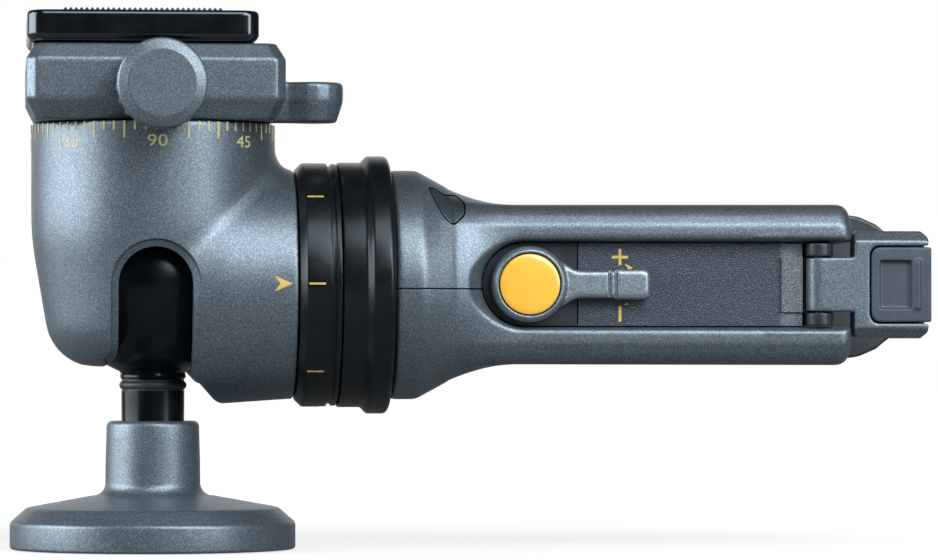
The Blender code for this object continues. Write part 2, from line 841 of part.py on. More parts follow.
def ball_cavity():
    room = LINER_OUT + GAP
    edge = LINER_ANGLE + LEAN_LEFT + 4
    points = [(r, BALL_Z + h) for r, h in ball_arc(room, 0, edge, 6)]
    points += [(r, BALL_Z + h) for r, h in ball_arc(BALL_R + BALL_GAP, edge, 180, 9)]
    return turned("ball_cavity", points, steps=BALL_STEPS, cutter=True)


def make_housing():
    housing = housing_body()
    join(housing, housing_boss(), saddle_fillet())
    notch, bevel = drop_notch()
    bore = cylinder("spindle_seat", SPINDLE_R + GAP, (BALL_R * 0.7, 0, BALL_Z),
                    (BOSS_END_X + 5, 0, BALL_Z), steps=MID_STEPS, cutter=True)
    pan_hole = cylinder("pan_bolt_hole", PAN_BOLT_R + GAP, (0, 0, HOUSING_TOP - PAN_BOLT_IN - GAP),
                        (0, 0, HOUSING_TOP + 5), cutter=True)
    floor = HOUSING_TOP - CLICK_DEPTH
    groove = turned("click_groove", [(CLICK_IN, HOUSING_TOP + 2), (CLICK_OUT, HOUSING_TOP + 2),
                                     (CLICK_OUT, floor), (CLICK_IN, floor)],
                    steps=MID_STEPS, closed=True, cutter=True)
    cut(housing, bore, pan_hole, groove, ball_cavity(), stem_sweep(), notch, bevel)
    part(housing, "body_paint")


def make_pan_parts():
    low = HOUSING_TOP - CLICK_DEPTH + GAP
    high = HOUSING_TOP - GAP / 2
    inner, outer = CLICK_IN + GAP, CLICK_OUT - GAP
    points = [(inner, high), (outer, high), (outer, low), (inner, low)]
    ring = turned("pan_click_ring", points, steps=MID_STEPS, closed=True)
    for i in range(CLICK_TEETH):
        turn = 2 * math.pi * i / CLICK_TEETH
        along = Vector((math.cos(turn), math.sin(turn), 0))
        start = along * (inner - 1) + Vector((0, 0, high + 0.2))
        end = along * (outer + 1) + Vector((0, 0, high + 0.2))
        cut(ring, cylinder("click_valley", 0.7, start, end, steps=6, cutter=True))
    part(ring, "steel")
    seat = CLAMP_Z + PAN_SEAT_UP + GAP
    top = seat + PAN_BOLT_HEAD_H
    points = [(0, top), (PAN_BOLT_HEAD_R, top), (PAN_BOLT_HEAD_R, seat), (PAN_BOLT_R, seat),
              (PAN_BOLT_R, HOUSING_TOP - PAN_BOLT_IN), (0, HOUSING_TOP - PAN_BOLT_IN)]
    part(turned("pan_bolt", points, steps=MID_STEPS), "steel")


# Brake and handle spindle

def make_spindle():
    points = [
        (ROD_R + GAP, SPINDLE_END_X),
        (SPINDLE_R, SPINDLE_END_X),
        (SPINDLE_R, SPINDLE_START_X),
        (SPINDLE_BORE, SPINDLE_START_X),
        (SPINDLE_BORE, SPINDLE_SEAT_X),
        (ROD_R + GAP, SPINDLE_SEAT_X),
    ]
    centre = (0, 0, BALL_Z)
    part(turned("handle_spindle", points, at=centre, axis="X", steps=MID_STEPS, closed=True), "steel")
    inner = SPINDLE_R + GAP
    left = SPINDLE_END_X - SPINDLE_NUT_W
    points = [(inner, SPINDLE_END_X), (SPINDLE_NUT_R, SPINDLE_END_X), (SPINDLE_NUT_R, left), (inner, left)]
    part(turned("spindle_nut", points, at=centre, axis="X", steps=MID_STEPS, closed=True), "steel")


def make_brake():
    radius = SPINDLE_BORE - GAP
    centre = (0, 0, BALL_Z)
    rim = math.degrees(math.asin(radius / (BALL_R + GAP)))
    hole = ROD_R + GAP
    rod_start = SHOE_X - ROD_IN_SHOE
    face = [(r, x) for r, x in ball_arc(BALL_R + GAP, rim, 0, 4)]
    points = [(0, rod_start - GAP), (hole, rod_start - GAP), (hole, SHOE_X), (radius, SHOE_X)]
    part(turned("brake_shoe", points + face, at=centre, axis="X", steps=MID_STEPS), "brass")
    disc_start = TRIGGER_X + NOSE_W + NOSE_GAP
    disc_end = disc_start + ROD_DISC_W
    points = [(0, disc_end), (ROD_DISC_R, disc_end), (ROD_DISC_R, disc_start), (ROD_R, disc_start),
              (ROD_R, rod_start), (0, rod_start)]
    part(turned("brake_rod", points, at=centre, axis="X", steps=SMALL_STEPS), "steel")


def make_spring():
    start = SHOE_X + GAP + SPRING_WIRE / 2
    end = SPINDLE_SEAT_X - GAP - SPRING_WIRE / 2
    count = SPRING_TURNS * SPRING_POINTS
    curve = bpy.data.curves.new("clamp_spring", "CURVE")
    curve.dimensions = "3D"
    curve.bevel_depth = SPRING_WIRE / 2 * MM
    curve.bevel_resolution = 1
    curve.use_fill_caps = True
    spline = curve.splines.new("POLY")
    spline.points.add(count)
    for i in range(count + 1):
        turn = 2 * math.pi * i / SPRING_POINTS
        place_at = (start + (end - start) * i / count, SPRING_R * math.cos(turn), SPRING_R * math.sin(turn))
        spline.points[i].co = (place_at[0] * MM, place_at[1] * MM, (BALL_Z + place_at[2]) * MM, 1)
    wire = bpy.data.objects.new("clamp_spring_wire", curve)
    bpy.context.scene.collection.objects.link(wire)
    bpy.context.view_layer.update()
    mesh = bpy.data.meshes.new_from_object(wire.evaluated_get(bpy.context.evaluated_depsgraph_get()))
    bm = bmesh.new()
    bm.from_mesh(mesh)
    bmesh.ops.remove_doubles(bm, verts=bm.verts, dist=MERGE)
    bm.to_mesh(mesh)
    bm.free()
    mesh.materials.clear()
    spring = bpy.data.objects.new("clamp_spring", mesh)
    spring.matrix_world = wire.matrix_world
    bpy.data.objects.remove(wire, do_unlink=True)
    place(spring)
    part(spring, "steel")


# Index ring, neck and lock collar

def make_rings():
    centre = (0, 0, BALL_Z)
    bore = SPINDLE_R + TURN_GAP
    start = RING_X
    step_x = start + RING_W
    end = step_x + RING_STEP_W
    points = [
        (bore, end),
        (RING_STEP_R, end),
        (RING_STEP_R, step_x),
        (RING_R, step_x),
        (RING_R, start + RING_CHAMFER),
        (RING_R - RING_CHAMFER, start),
        (bore, start),
    ]
    part(turned("index_ring", points, at=centre, axis="X", closed=True), "satin_black")

    sleeve_end = SPINDLE_END_X - SPINDLE_NUT_W - TURN_GAP
    sleeve_r = SPINDLE_NUT_R + NUT_ROOM
    points = [
        (bore, sleeve_end),
        (sleeve_r, sleeve_end),
        (sleeve_r, GRIP_X - GAP),
        (NECK_R, GRIP_X - GAP),
        (NECK_R, end + GAP),
        (bore, end + GAP),
    ]
    part(turned("grip_neck", points, at=centre, axis="X", closed=True), "satin_black")

    inner = NECK_R + GAP
    left, right = COLLAR_X, COLLAR_X + COLLAR_W
    flat = left + COLLAR_FLAT
    points = [
        (inner, right),
        (COLLAR_R - COLLAR_EDGE, right),
        (COLLAR_R - COLLAR_EDGE * 0.3, right - COLLAR_EDGE * 0.3),
        (COLLAR_R, right - COLLAR_EDGE),
        (COLLAR_R, flat + COLLAR_FLARE),
        (RING_R, flat),
        (RING_R, left + 0.5),
        (RING_R - 0.5, left),
        (inner, left),
    ]
    part(turned("lock_collar", points, at=centre, axis="X", closed=True), "satin_black")


# Grip shells

def grip_half_height(x):
    """Half the grip's height seen from the front."""
    if x <= CONE_X:
        return NECK_R
    cone_low = NECK_R - NECK_CONE_DROP
    if x <= CREASE_X:
        return NECK_R - NECK_CONE_DROP * (x - CONE_X) / NECK_CONE
    flare_x = CREASE_X + NECK_STEP_W
    flare_r = cone_low - NECK_STEP
    if x <= flare_x:
        return cone_low - NECK_STEP * (x - CREASE_X) / NECK_STEP_W
    if x < FLARE_END_X:
        t = (x - flare_x) / (FLARE_END_X - flare_x)
        return GRIP_HALF + (flare_r - GRIP_HALF) * (1 - t) ** FLARE_POWER
    t = (x - FLARE_END_X) / (GRIP_END_X - FLARE_END_X)
    return GRIP_HALF + (GRIP_END_HALF - GRIP_HALF) * min(t, 1.0)


def grip_outline():
    """The grip's section in y and z, from the front round the top to the back and on."""
    rise = GRIP_HALF - GRIP_CORNER
    lean = math.degrees(math.asin((GRIP_CREASE - rise) / GRIP_CORNER))
    front = (-GRIP_FRONT + GRIP_CORNER * math.cos(math.radians(lean)), rise)
    back = (GRIP_BACK - GRIP_CORNER, rise)
    half = []
    for i in range(1, 5):
        half.append((-GRIP_FRONT - GRIP_CROWN * (1 - (i / 5) ** 2), GRIP_CREASE * i / 5))
    half += arc(front, GRIP_CORNER, 180 - lean, 90, 3)
    width = back[0] - front[0]
    for i in range(1, 6):
        half.append((front[0] + width * i / 6, GRIP_HALF))
    half += arc(back, GRIP_CORNER, 90, 0, 4)
    for i in range(3, 0, -1):
        half.append((GRIP_BACK, rise * i / 4))
    lower = [(y, -z) for y, z in reversed(half)]
    return [(-GRIP_FRONT - GRIP_CROWN, 0.0)] + half + [(GRIP_BACK, 0.0)] + lower


def grip_section(x, shrink=0.0):
    """One slice of the grip: a circle at the neck that turns into the grip's own outline."""
    height = grip_half_height(x)
    t = min(max((x - CONE_X) / (FLARE_END_X - CONE_X), 0.0), 1.0)
    blend = t * t * (3 - 2 * t)
    section = []
    for y, z in grip_outline():
        angle = math.atan2(z, y)
        scale = height / GRIP_HALF
        round_y, round_z = height * math.cos(angle), height * math.sin(angle)
        full_y, full_z = y * scale, z * scale
        section.append(((1 - blend) * round_y + blend * full_y, (1 - blend) * round_z + blend * full_z))
    factor = 1 - shrink / GRIP_HALF
    return [(x, y * factor, BALL_Z + z * factor) for y, z in section]


def grip_stations():
    flare_x = CREASE_X + NECK_STEP_W
    stations = [(GRIP_X, 0.0), (CONE_X, 0.0), (CREASE_X, 0.0), (flare_x, 0.0)]
    steps = 6
    for i in range(1, steps + 1):
        stations.append((flare_x + (FLARE_END_X - flare_x) * i / steps, 0.0))
    for angle in (0, 30, 60, 90):
        turn = math.radians(angle)
        x = GRIP_END_X - GRIP_END_ROUND * (1 - math.sin(turn))
        stations.append((x, GRIP_END_ROUND * (1 - math.cos(turn))))
    return stations


def grip_solid(name, cutter=False):
    return lofted(name, [grip_section(x, shrink) for x, shrink in grip_stations()], cutter)


def slot_outline(left, right, half, steps=10):
    """A slot seen from the front with a round left end and an open right end."""
    return arc((left + half, BALL_Z), half, 90, 270, steps) + [(right, BALL_Z - half), (right, BALL_Z + half)]


def cover_outline(grow=0.0):
    """The leaf shape of the pivot cover: a straight left edge and a round right lobe."""
    left, top = COVER_X, BALL_Z + COVER_Z
    right, bottom = left + COVER_LENGTH, top - COVER_HEIGHT
    lobe_r = COVER_HEIGHT * 0.36
    lobe = arc((right - lobe_r, top - COVER_HEIGHT * 0.60), lobe_r, 75, -60, 6)
    points = [(left, top), (left + COVER_LENGTH * 0.42, top - COVER_HEIGHT * 0.22)] + lobe
    points.append((left + COVER_LENGTH * 0.62, bottom))
    middle = Vector((left + COVER_LENGTH * 0.5, top - COVER_HEIGHT * 0.5))
    grown = []
    for point in points:
        away = Vector(point) - middle
        grown.append(tuple(middle + away * (1 + grow / away.length)))
    return grown


def shell_cutters():
    far = 60.0
    channel = extruded("grip_channel", slot_outline(CHANNEL_LEFT_X, GRIP_END_X + far, CHANNEL_HALF),
                       -far, -CHANNEL_FLOOR, plane="XZ", cutter=True)
    end_half = EAR_OUT + BLOCK_GAP
    end_opening = box("end_opening", (PANEL_END_X, -CHANNEL_FLOOR - 1, BALL_Z - end_half),
                      (GRIP_END_X + far, far, BALL_Z + end_half), cutter=True)
    nut_room = SPINDLE_NUT_R + NUT_ROOM + GAP
    neck_room = cylinder("nut_room", nut_room, (GRIP_X - 5, 0, BALL_Z),
                         (SPINDLE_END_X + 1.5, 0, BALL_Z), steps=MID_STEPS, cutter=True)
    bay = box("lever_bay", (SPINDLE_END_X, -BAY_FRONT, BALL_Z - BAY_HALF),
              (BAY_END_X, BAY_BACK, BALL_Z + BAY_HALF), cutter=True)
    hollow = box("grip_hollow", (HOLLOW_START_X, -BAY_FRONT, BALL_Z - BAY_HALF),
                 (HOLLOW_END_X, BAY_BACK, BALL_Z + BAY_HALF), cutter=True)
    slot = box("lever_slot", (TRIGGER_X - SLOT_BEFORE_TRIGGER, BAY_BACK - 6, BALL_Z - SLOT_HALF),
               (TRIGGER_X + SLOT_PAST_TRIGGER, far, BALL_Z + SLOT_HALF), cutter=True)
    pin = cylinder("trigger_pin_hole", TRIGGER_PIN_R + GAP,
                   (TRIGGER_X, TRIGGER_Y, BALL_Z - TRIGGER_PIN_HALF - GAP),
                   (TRIGGER_X, TRIGGER_Y, BALL_Z + TRIGGER_PIN_HALF + GAP), cutter=True)
    shaft = cylinder("dial_shaft_hole", DIAL_SHAFT_R + GAP, (DIAL_X, -far, BALL_Z),
                     (DIAL_X, -BAY_FRONT + 1, BALL_Z), cutter=True)
    return [channel, end_opening, neck_room, bay, hollow, slot, pin, shaft]


def screw_cutters():
    found = []
    for i, x in enumerate(SHELL_SCREW_XS):
        head_z = BALL_Z - GRIP_HALF + SHELL_SCREW_SINK
        found.append(cylinder("screw_recess_%d" % i, SHELL_SCREW_HEAD_R + GAP,
                              (x, SHELL_SCREW_Y, BALL_Z - GRIP_HALF - 5),
                              (x, SHELL_SCREW_Y, head_z + GAP), cutter=True))
        found.append(cylinder("screw_hole_%d" % i, SHELL_SCREW_R + GAP,
                              (x, SHELL_SCREW_Y, head_z),
                              (x, SHELL_SCREW_Y, BALL_Z + SHELL_SCREW_UP + GAP), cutter=True))
    return found


def make_shells():
    cutters = shell_cutters()
    screws = screw_cutters()
    far = 80.0
    middle = BALL_Z - SEAM_DROP
    above = box("above_seam", (GRIP_X - 9, -far, middle - SEAM / 2),
                (GRIP_END_X + 9, far, middle + far), cutter=True)
    below = box("below_seam", (GRIP_X - 9, -far, middle - far),
                (GRIP_END_X + 9, far, middle + SEAM / 2), cutter=True)
    pocket = extruded("cover_pocket", cover_outline(GAP), -far, -pocket_floor(), plane="XZ", cutter=True)
    upper = grip_solid("upper_shell")
    cut(upper, below, *cutters, *screws, pocket)
    part(upper, "body_paint")
    lower = grip_solid("lower_shell")
    cut(lower, above, *cutters, *screws)
    part(lower, "body_paint")

    cover = grip_solid("pivot_cover")
    keep(cover, extruded("cover_blank", cover_outline(), -far, -pocket_floor() - GAP,
                         plane="XZ", cutter=True))
    part(cover, "body_paint")


def pocket_floor():
    """How far in front of the grip's middle the pocket of the pivot cover ends."""
    height = grip_half_height(COVER_X + COVER_LENGTH)
    low = COVER_Z - COVER_HEIGHT / 2
    return math.sqrt(max(height ** 2 - low ** 2, 4.0)) - COVER_DEPTH


def make_shell_screws():
    for i, x in enumerate(SHELL_SCREW_XS):
        head_z = BALL_Z - GRIP_HALF + SHELL_SCREW_SINK
        top = BALL_Z + SHELL_SCREW_UP
        low = head_z - SHELL_SCREW_HEAD_H
        points = [(0, top), (SHELL_SCREW_R, top), (SHELL_SCREW_R, head_z), (SHELL_SCREW_HEAD_R, head_z),
                  (SHELL_SCREW_HEAD_R, low), (0, low)]
        name = "shell_screw_%d" % (i + 1)
        part(turned(name, points, at=(x, SHELL_SCREW_Y, 0), steps=SMALL_STEPS), "steel")


# Pieces in the front channel

def make_channel_pieces():
    back = -CHANNEL_FLOOR - GAP
    front = -PLATE_FRONT
    left = CHANNEL_LEFT_X + GAP
    plate = extruded("dial_plate", slot_outline(left, PLATE_SPLIT_X, PLATE_HALF), front, back, plane="XZ")
    hole = cylinder("dial_plate_hole", DIAL_SHAFT_R + GAP, (DIAL_X, front - 1, BALL_Z),
                    (DIAL_X, back + 1, BALL_Z), cutter=True)
    cut(plate, hole)
    part(plate, "satin_black")

    right = PANEL_END_X - GAP
    panel = box("grip_panel", (PLATE_SPLIT_X + GAP, front, BALL_Z - PLATE_HALF),
                (right, back, BALL_Z + PLATE_HALF))
    strip = box("panel_strip", (right - PANEL_STRIP_W, front - PANEL_STRIP_UP, BALL_Z - PANEL_STRIP_HALF),
                (right, front + 1, BALL_Z + PANEL_STRIP_HALF), cutter=True)
    join(panel, strip)
    part(panel, "panel_grain")


def make_dial():
    back = PLATE_FRONT + GAP
    face = back + DIAL_PROUD
    inset = DIAL_DISC_R + GAP
    shaft_end = PLATE_FRONT - DIAL_SHAFT_IN
    points = [
        (0, face - DIAL_DISC_H - GAP),
        (inset, face - DIAL_DISC_H - GAP),
        (inset, face),
        (DIAL_R - DIAL_BEVEL, face),
        (DIAL_R, face - DIAL_BEVEL),
        (DIAL_R, back),
        (DIAL_SHAFT_R, back),
        (DIAL_SHAFT_R, shaft_end),
        (0, shaft_end),
    ]
    centre = (DIAL_X, 0, BALL_Z)
    dial = turned("friction_dial", points, at=centre, axis="-Y", steps=MID_STEPS)
    arm_front = -(back + LEVER_PROUD)
    start = DIAL_X + DIAL_DISC_R + 1.0
    pad_start = LEVER_TIP_X - LEVER_PAD_LENGTH
    arm = box("lever_arm", (start, arm_front, BALL_Z - LEVER_HALF),
              (pad_start + 1, -back, BALL_Z + LEVER_HALF), cutter=True)
    corner = LEVER_PAD_HALF * 0.6
    tip = arc((LEVER_TIP_X - corner, BALL_Z - LEVER_PAD_HALF + corner), corner, -90, 0, 3)
    tip += arc((LEVER_TIP_X - corner, BALL_Z + LEVER_PAD_HALF - corner), corner, 0, 90, 3)
    outline = [(pad_start, BALL_Z + LEVER_PAD_HALF), (pad_start, BALL_Z - LEVER_PAD_HALF)] + tip
    pad = extruded("lever_pad", outline, arm_front - LEVER_PAD_UP, -back, plane="XZ", cutter=True)
    join(dial, arm, pad)
    for i in range(2):
        x = pad_start + 0.6 + i * 2 * LEVER_GROOVE
        groove = box("lever_groove_%d" % i, (x, arm_front - 2, BALL_Z - 2 * LEVER_HALF),
                     (x + LEVER_GROOVE, arm_front + 0.2, BALL_Z + 2 * LEVER_HALF), cutter=True)
        cut(dial, groove)
    part(dial, "body_paint")
    disc = turned("dial_disc", [(0, face), (DIAL_DISC_R - 0.2, face), (DIAL_DISC_R, face - 0.2),
                                (DIAL_DISC_R, face - DIAL_DISC_H), (0, face - DIAL_DISC_H)],
                  at=centre, axis="-Y", steps=MID_STEPS)
    part(disc, "signal_yellow")


# Trigger

def trigger_outline(start, inset):
    """The trigger seen from behind: a narrow start, a smooth widening and a round end."""
    neck, wide = TRIGGER_NECK_HALF - inset, TRIGGER_HALF - inset
    upper = [(start, neck)]
    steps = 5
    first = max(start, TRIGGER_START) + 2.0
    for i in range(1, steps + 1):
        t = i / steps
        upper.append((first + (TRIGGER_WIDE_X - first) * t, neck + (wide - neck) * t * t * (3 - 2 * t)))
    lower = [(x, -z) for x, z in reversed(upper)]
    return upper + arc((TRIGGER_TIP_X, 0), wide, 90, -90, 12) + lower


def let_out(obj):
    """Set a trigger piece on its pivot and swing it from squeezed to rest."""
    obj.location = (TRIGGER_X * MM, TRIGGER_Y * MM, BALL_Z * MM)
    obj.rotation_euler = (0, 0, math.radians(TRIGGER_TRAVEL))
    return obj


def make_trigger():
    inner, outer = TRIGGER_INNER, TRIGGER_INNER + TRIGGER_THICK
    lever = extruded("trigger_lever", trigger_outline(TRIGGER_START, 0.0), inner, outer, plane="XZ")
    tools = []
    for side in (-1, 1):
        low, high = sorted((side * CHEEK_IN, side * CHEEK_OUT))
        corners = arc((0, 0), TRIGGER_HUB_R, 0, 345, 23)
        corners += [(TRIGGER_START + 0.5, outer - 0.6), (TRIGGER_START + 12, outer - 0.6),
                    (TRIGGER_START + 12, inner)]
        points = [(x, y, z) for x, y in corners for z in (low, high)]
        tools.append(hull("trigger_cheek", points, cutter=True))
        low, high = sorted((side * (ROD_R + 2 * GAP), side * (CHEEK_IN + 1)))
        nose_x = -TRIGGER_Y * math.sin(math.radians(TRIGGER_TRAVEL))
        tools.append(box("trigger_nose", (nose_x, -TRIGGER_Y - 2.2, low),
                         (nose_x + NOSE_W, -TRIGGER_Y + 1.6, high), cutter=True))
    join(lever, *[let_out(tool) for tool in tools])
    hole = cylinder("trigger_bore", TRIGGER_PIN_R + GAP, (0, 0, -2 * CHEEK_OUT), (0, 0, 2 * CHEEK_OUT),
                    cutter=True)
    cut(lever, let_out(hole))
    part(let_out(lever), "satin_black")

    back = outer + GAP
    rubber = extruded("trigger_rubber", trigger_outline(RUBBER_START, RUBBER_INSET), back,
                      back + RUBBER_THICK, plane="XZ")
    round_edges(rubber, 1.0, segments=1, angle=60)
    count = int((TRIGGER_TIP_X + TRIGGER_HALF - RUBBER_START) / RIB_PITCH)
    for i in range(1, count):
        x = RUBBER_START + i * RIB_PITCH
        groove = box("rib_groove", (x, back + RUBBER_THICK - RIB_DEPTH, -2 * TRIGGER_HALF),
                     (x + RIB_PITCH - RIB_WIDTH, back + RUBBER_THICK + 3, 2 * TRIGGER_HALF), cutter=True)
        cut(rubber, let_out(groove))
    part(let_out(rubber), "black_rubber")

    pin = cylinder("trigger_pin", TRIGGER_PIN_R, (TRIGGER_X, TRIGGER_Y, BALL_Z - TRIGGER_PIN_HALF),
                   (TRIGGER_X, TRIGGER_Y, BALL_Z + TRIGGER_PIN_HALF))
    part(pin, "steel")


# Release arm at the grip's end

def make_hinge_block():
    floor = -CHANNEL_FLOOR - 0.2
    block = box("hinge_block", (BLOCK_START_X, floor, BALL_Z - EAR_OUT),
                (BLOCK_END_X, -BLOCK_DEPTH, BALL_Z + EAR_OUT))
    hole = cylinder("hinge_pin_hole", HINGE_PIN_R + GAP, (HINGE_X, HINGE_Y, BALL_Z - 2 * EAR_OUT),
                    (HINGE_X, HINGE_Y, BALL_Z + EAR_OUT - 1.0), steps=12, cutter=True)
    for side in (-1, 1):
        low, high = sorted((BALL_Z + side * EAR_IN, BALL_Z + side * EAR_OUT))
        left, right = HINGE_X - 2.8, HINGE_X + EAR_R
        outline = [(left, floor + 1), (left, HINGE_Y - 1.0)] + arc((HINGE_X, HINGE_Y), EAR_R, 205, 360, 7)
        outline.append((right, floor + 1))
        join(block, extruded("hinge_ear", outline, low, high, plane="XY", cutter=True))
    cut(block, hole)
    part(block, "satin_black")
    pin = cylinder("hinge_pin", HINGE_PIN_R, (HINGE_X, HINGE_Y, BALL_Z - EAR_OUT + 0.2),
                   (HINGE_X, HINGE_Y, BALL_Z + EAR_OUT - 1.3), steps=12)
    part(pin, "steel")


def make_release_arm():
    arm_end = FRAME_START_X
    hub = arc((HINGE_X, HINGE_Y), HUB_R, 90, 270, 8)
    outline = hub + [(arm_end + 2, -ARM_FRONT), (arm_end + 2, -ARM_BACK), (HINGE_X + 2.6, -ARM_BACK)]
    arm = extruded("release_arm", outline, BALL_Z - ARM_HALF, BALL_Z + ARM_HALF, plane="XY")
    bevel = FRAME_CHAMFER
    left, right, half = arm_end, FRAME_END_X, FRAME_HALF
    frame_outline = [(left, BALL_Z - half + bevel / 2), (left + bevel / 2, BALL_Z - half),
                     (right - bevel, BALL_Z - half), (right, BALL_Z - half + bevel),
                     (right, BALL_Z + half - bevel), (right - bevel, BALL_Z + half),
                     (left + bevel / 2, BALL_Z + half), (left, BALL_Z + half - bevel / 2)]
    join(arm, extruded("u_frame", frame_outline, -ARM_FRONT, -FRAME_BACK, plane="XZ", cutter=True))
    inner = half - FRAME_BAR
    window = box("frame_window", (PAD_START_X - GAP, -ARM_FRONT - 5, BALL_Z - inner),
                 (right + 5, -FRAME_BACK - FRAME_FLOOR, BALL_Z + inner), cutter=True)
    bore = cylinder("hinge_bore", HINGE_PIN_R + GAP, (HINGE_X, HINGE_Y, BALL_Z - 2 * ARM_HALF),
                    (HINGE_X, HINGE_Y, BALL_Z + 2 * ARM_HALF), steps=12, cutter=True)
    cut(arm, window, bore)
    part(arm, "body_paint")

    half = inner - GAP
    back = -FRAME_BACK - FRAME_FLOOR - PAD_TRAVEL - 0.1
    radius = PAD_RADIUS
    outline = arc((PAD_START_X + radius, BALL_Z - half + radius), radius, 180, 270, 3)
    outline += [(PAD_END_X, BALL_Z - half), (PAD_END_X, BALL_Z + half)]
    outline += arc((PAD_START_X + radius, BALL_Z + half - radius), radius, 90, 180, 3)
    pad = extruded("release_pad", outline, -ARM_FRONT, back, plane="XZ")
    dip_end = PAD_START_X + PAD_DIP_IN + PAD_DIP_LENGTH
    dip = box("pad_dip", (PAD_START_X + PAD_DIP_IN, -ARM_FRONT - 3, BALL_Z - PAD_DIP_HALF),
              (dip_end, -ARM_FRONT + PAD_DIP, BALL_Z + PAD_DIP_HALF), cutter=True)
    ridge = box("pad_ridge", (dip_end + PAD_RIDGE_IN, -ARM_FRONT - PAD_RIDGE_UP, BALL_Z - PAD_DIP_HALF),
                (dip_end + PAD_RIDGE_IN + PAD_RIDGE_W, -ARM_FRONT + 1, BALL_Z + PAD_DIP_HALF), cutter=True)
    join(pad, ridge)
    cut(pad, dip)
    part(pad, "pad_rubber")


# Clamp

def corner_cut_outline(half_x, half_y, corner):
    return [(-half_x + corner, -half_y), (half_x - corner, -half_y), (half_x, -half_y + corner),
            (half_x, half_y - corner), (half_x - corner, half_y), (-half_x + corner, half_y),
            (-half_x, half_y - corner), (-half_x, -half_y + corner)]


def clamp_block(name, cutter=False):
    """The clamp's outside: a foot that widens to a crease, and a bevelled top."""
    levels = (
        (CLAMP_Z, CLAMP_FOOT_X, CLAMP_FOOT_Y),
        (CLAMP_CREASE_Z, CLAMP_HALF_X, CLAMP_HALF_Y),
        (CLAMP_BEVEL_Z, CLAMP_HALF_X, CLAMP_HALF_Y),
        (CLAMP_TOP_Z, CLAMP_HALF_X - CLAMP_CORNER, CLAMP_HALF_Y - CLAMP_BEVEL_IN),
    )
    sections = []
    for z, half_x, half_y in levels:
        sections.append([(x, y, z) for x, y in corner_cut_outline(half_x, half_y, CLAMP_CORNER)])
    return lofted(name, sections, cutter)


def dovetail_outline(grow):
    """The plate's dovetail in y and z, or its slot when grown."""
    half, top = DOVE_HALF + grow, DOVE_TOP_HALF + grow
    low = DOVE_Z - grow
    lip = DOVE_Z + DOVE_LIP
    high = lip + DOVE_UNDERCUT
    return [(-half, low), (half, low), (half, lip), (top, high), (top, PLATE_SIDE_Z + 1),
            (-top, PLATE_SIDE_Z + 1), (-top, high), (-half, lip)]


def tab_outline(grow=0.0):
    """The level tab from above: a narrow neck and a rounded end."""
    start = CLAMP_HALF_X - 3
    neck_end = CLAMP_HALF_X + TAB_NECK_W
    half, neck = TAB_HALF + grow, TAB_NECK_HALF + grow
    centre = CLAMP_HALF_X + TAB_REACH - TAB_HALF
    return [(start, -neck), (neck_end - 1, -neck)] + arc((centre, 0), half, -125, 125, 12) + \
        [(neck_end - 1, neck), (start, neck)]


def make_clamp():
    clamp = clamp_block("clamp_body")
    foot = TAB_HALF * 0.72
    levels = ((TAB_BOTTOM, -1.5), (TAB_BOTTOM + foot, 0.0), (TAB_TOP - TAB_EDGE, 0.0), (TAB_TOP, -TAB_EDGE))
    sections = [[(x, y, z) for x, y in tab_outline(grow)] for z, grow in levels]
    join(clamp, lofted("level_tab", sections, cutter=True))
    vial_x = CLAMP_HALF_X + TAB_REACH - TAB_HALF
    vial_low = TAB_TOP + VIAL_PROUD - VIAL_H
    far = 60.0
    jaw_room = box("jaw_room", (-far, -far, CLAMP_Z - 5), (far, -JAW_BACK_Y, CLAMP_TOP_Z + 5), cutter=True)
    slot = extruded("dovetail_slot", dovetail_outline(GAP), -far, far, plane="YZ", cutter=True)
    seat = CLAMP_Z + PAN_SEAT_UP
    tools = [
        jaw_room,
        slot,
        cylinder("pan_shank_hole", PAN_BOLT_R + TURN_GAP, (0, 0, CLAMP_Z - 5), (0, 0, seat + 1), cutter=True),
        cylinder("pan_head_room", PAN_BOLT_HEAD_R + TURN_GAP, (0, 0, seat), (0, 0, CLAMP_FLOOR_Z + 5),
                 steps=MID_STEPS, cutter=True),
        cylinder("vial_pocket", VIAL_R + GAP, (vial_x, 0, vial_low - GAP), (vial_x, 0, TAB_TOP + 5),
                 cutter=True),
        cylinder("clamp_screw_hole", SCREW_R + GAP, (SCREW_SIDE, -far, SCREW_Z),
                 (SCREW_SIDE, -KNOB_FACE_Y + SCREW_IN + 6, SCREW_Z), cutter=True),
    ]
    for side in (-1, 1):
        x = side * PIN_X
        tools.append(cylinder("guide_pin_hole", PIN_R + GAP, (x, -far, SCREW_Z),
                              (x, -JAW_BACK_Y + PIN_IN + GAP, SCREW_Z), steps=12, cutter=True))
    cut(clamp, *tools)
    part(clamp, "body_paint")
    vial = turned("level_vial", [(0, TAB_TOP + VIAL_PROUD), (VIAL_R - 0.8, TAB_TOP + VIAL_PROUD - 0.1),
                                 (VIAL_R, TAB_TOP), (VIAL_R, vial_low), (0, vial_low)],
                  at=(vial_x, 0, 0), steps=SMALL_STEPS)
    part(vial, "level_green")


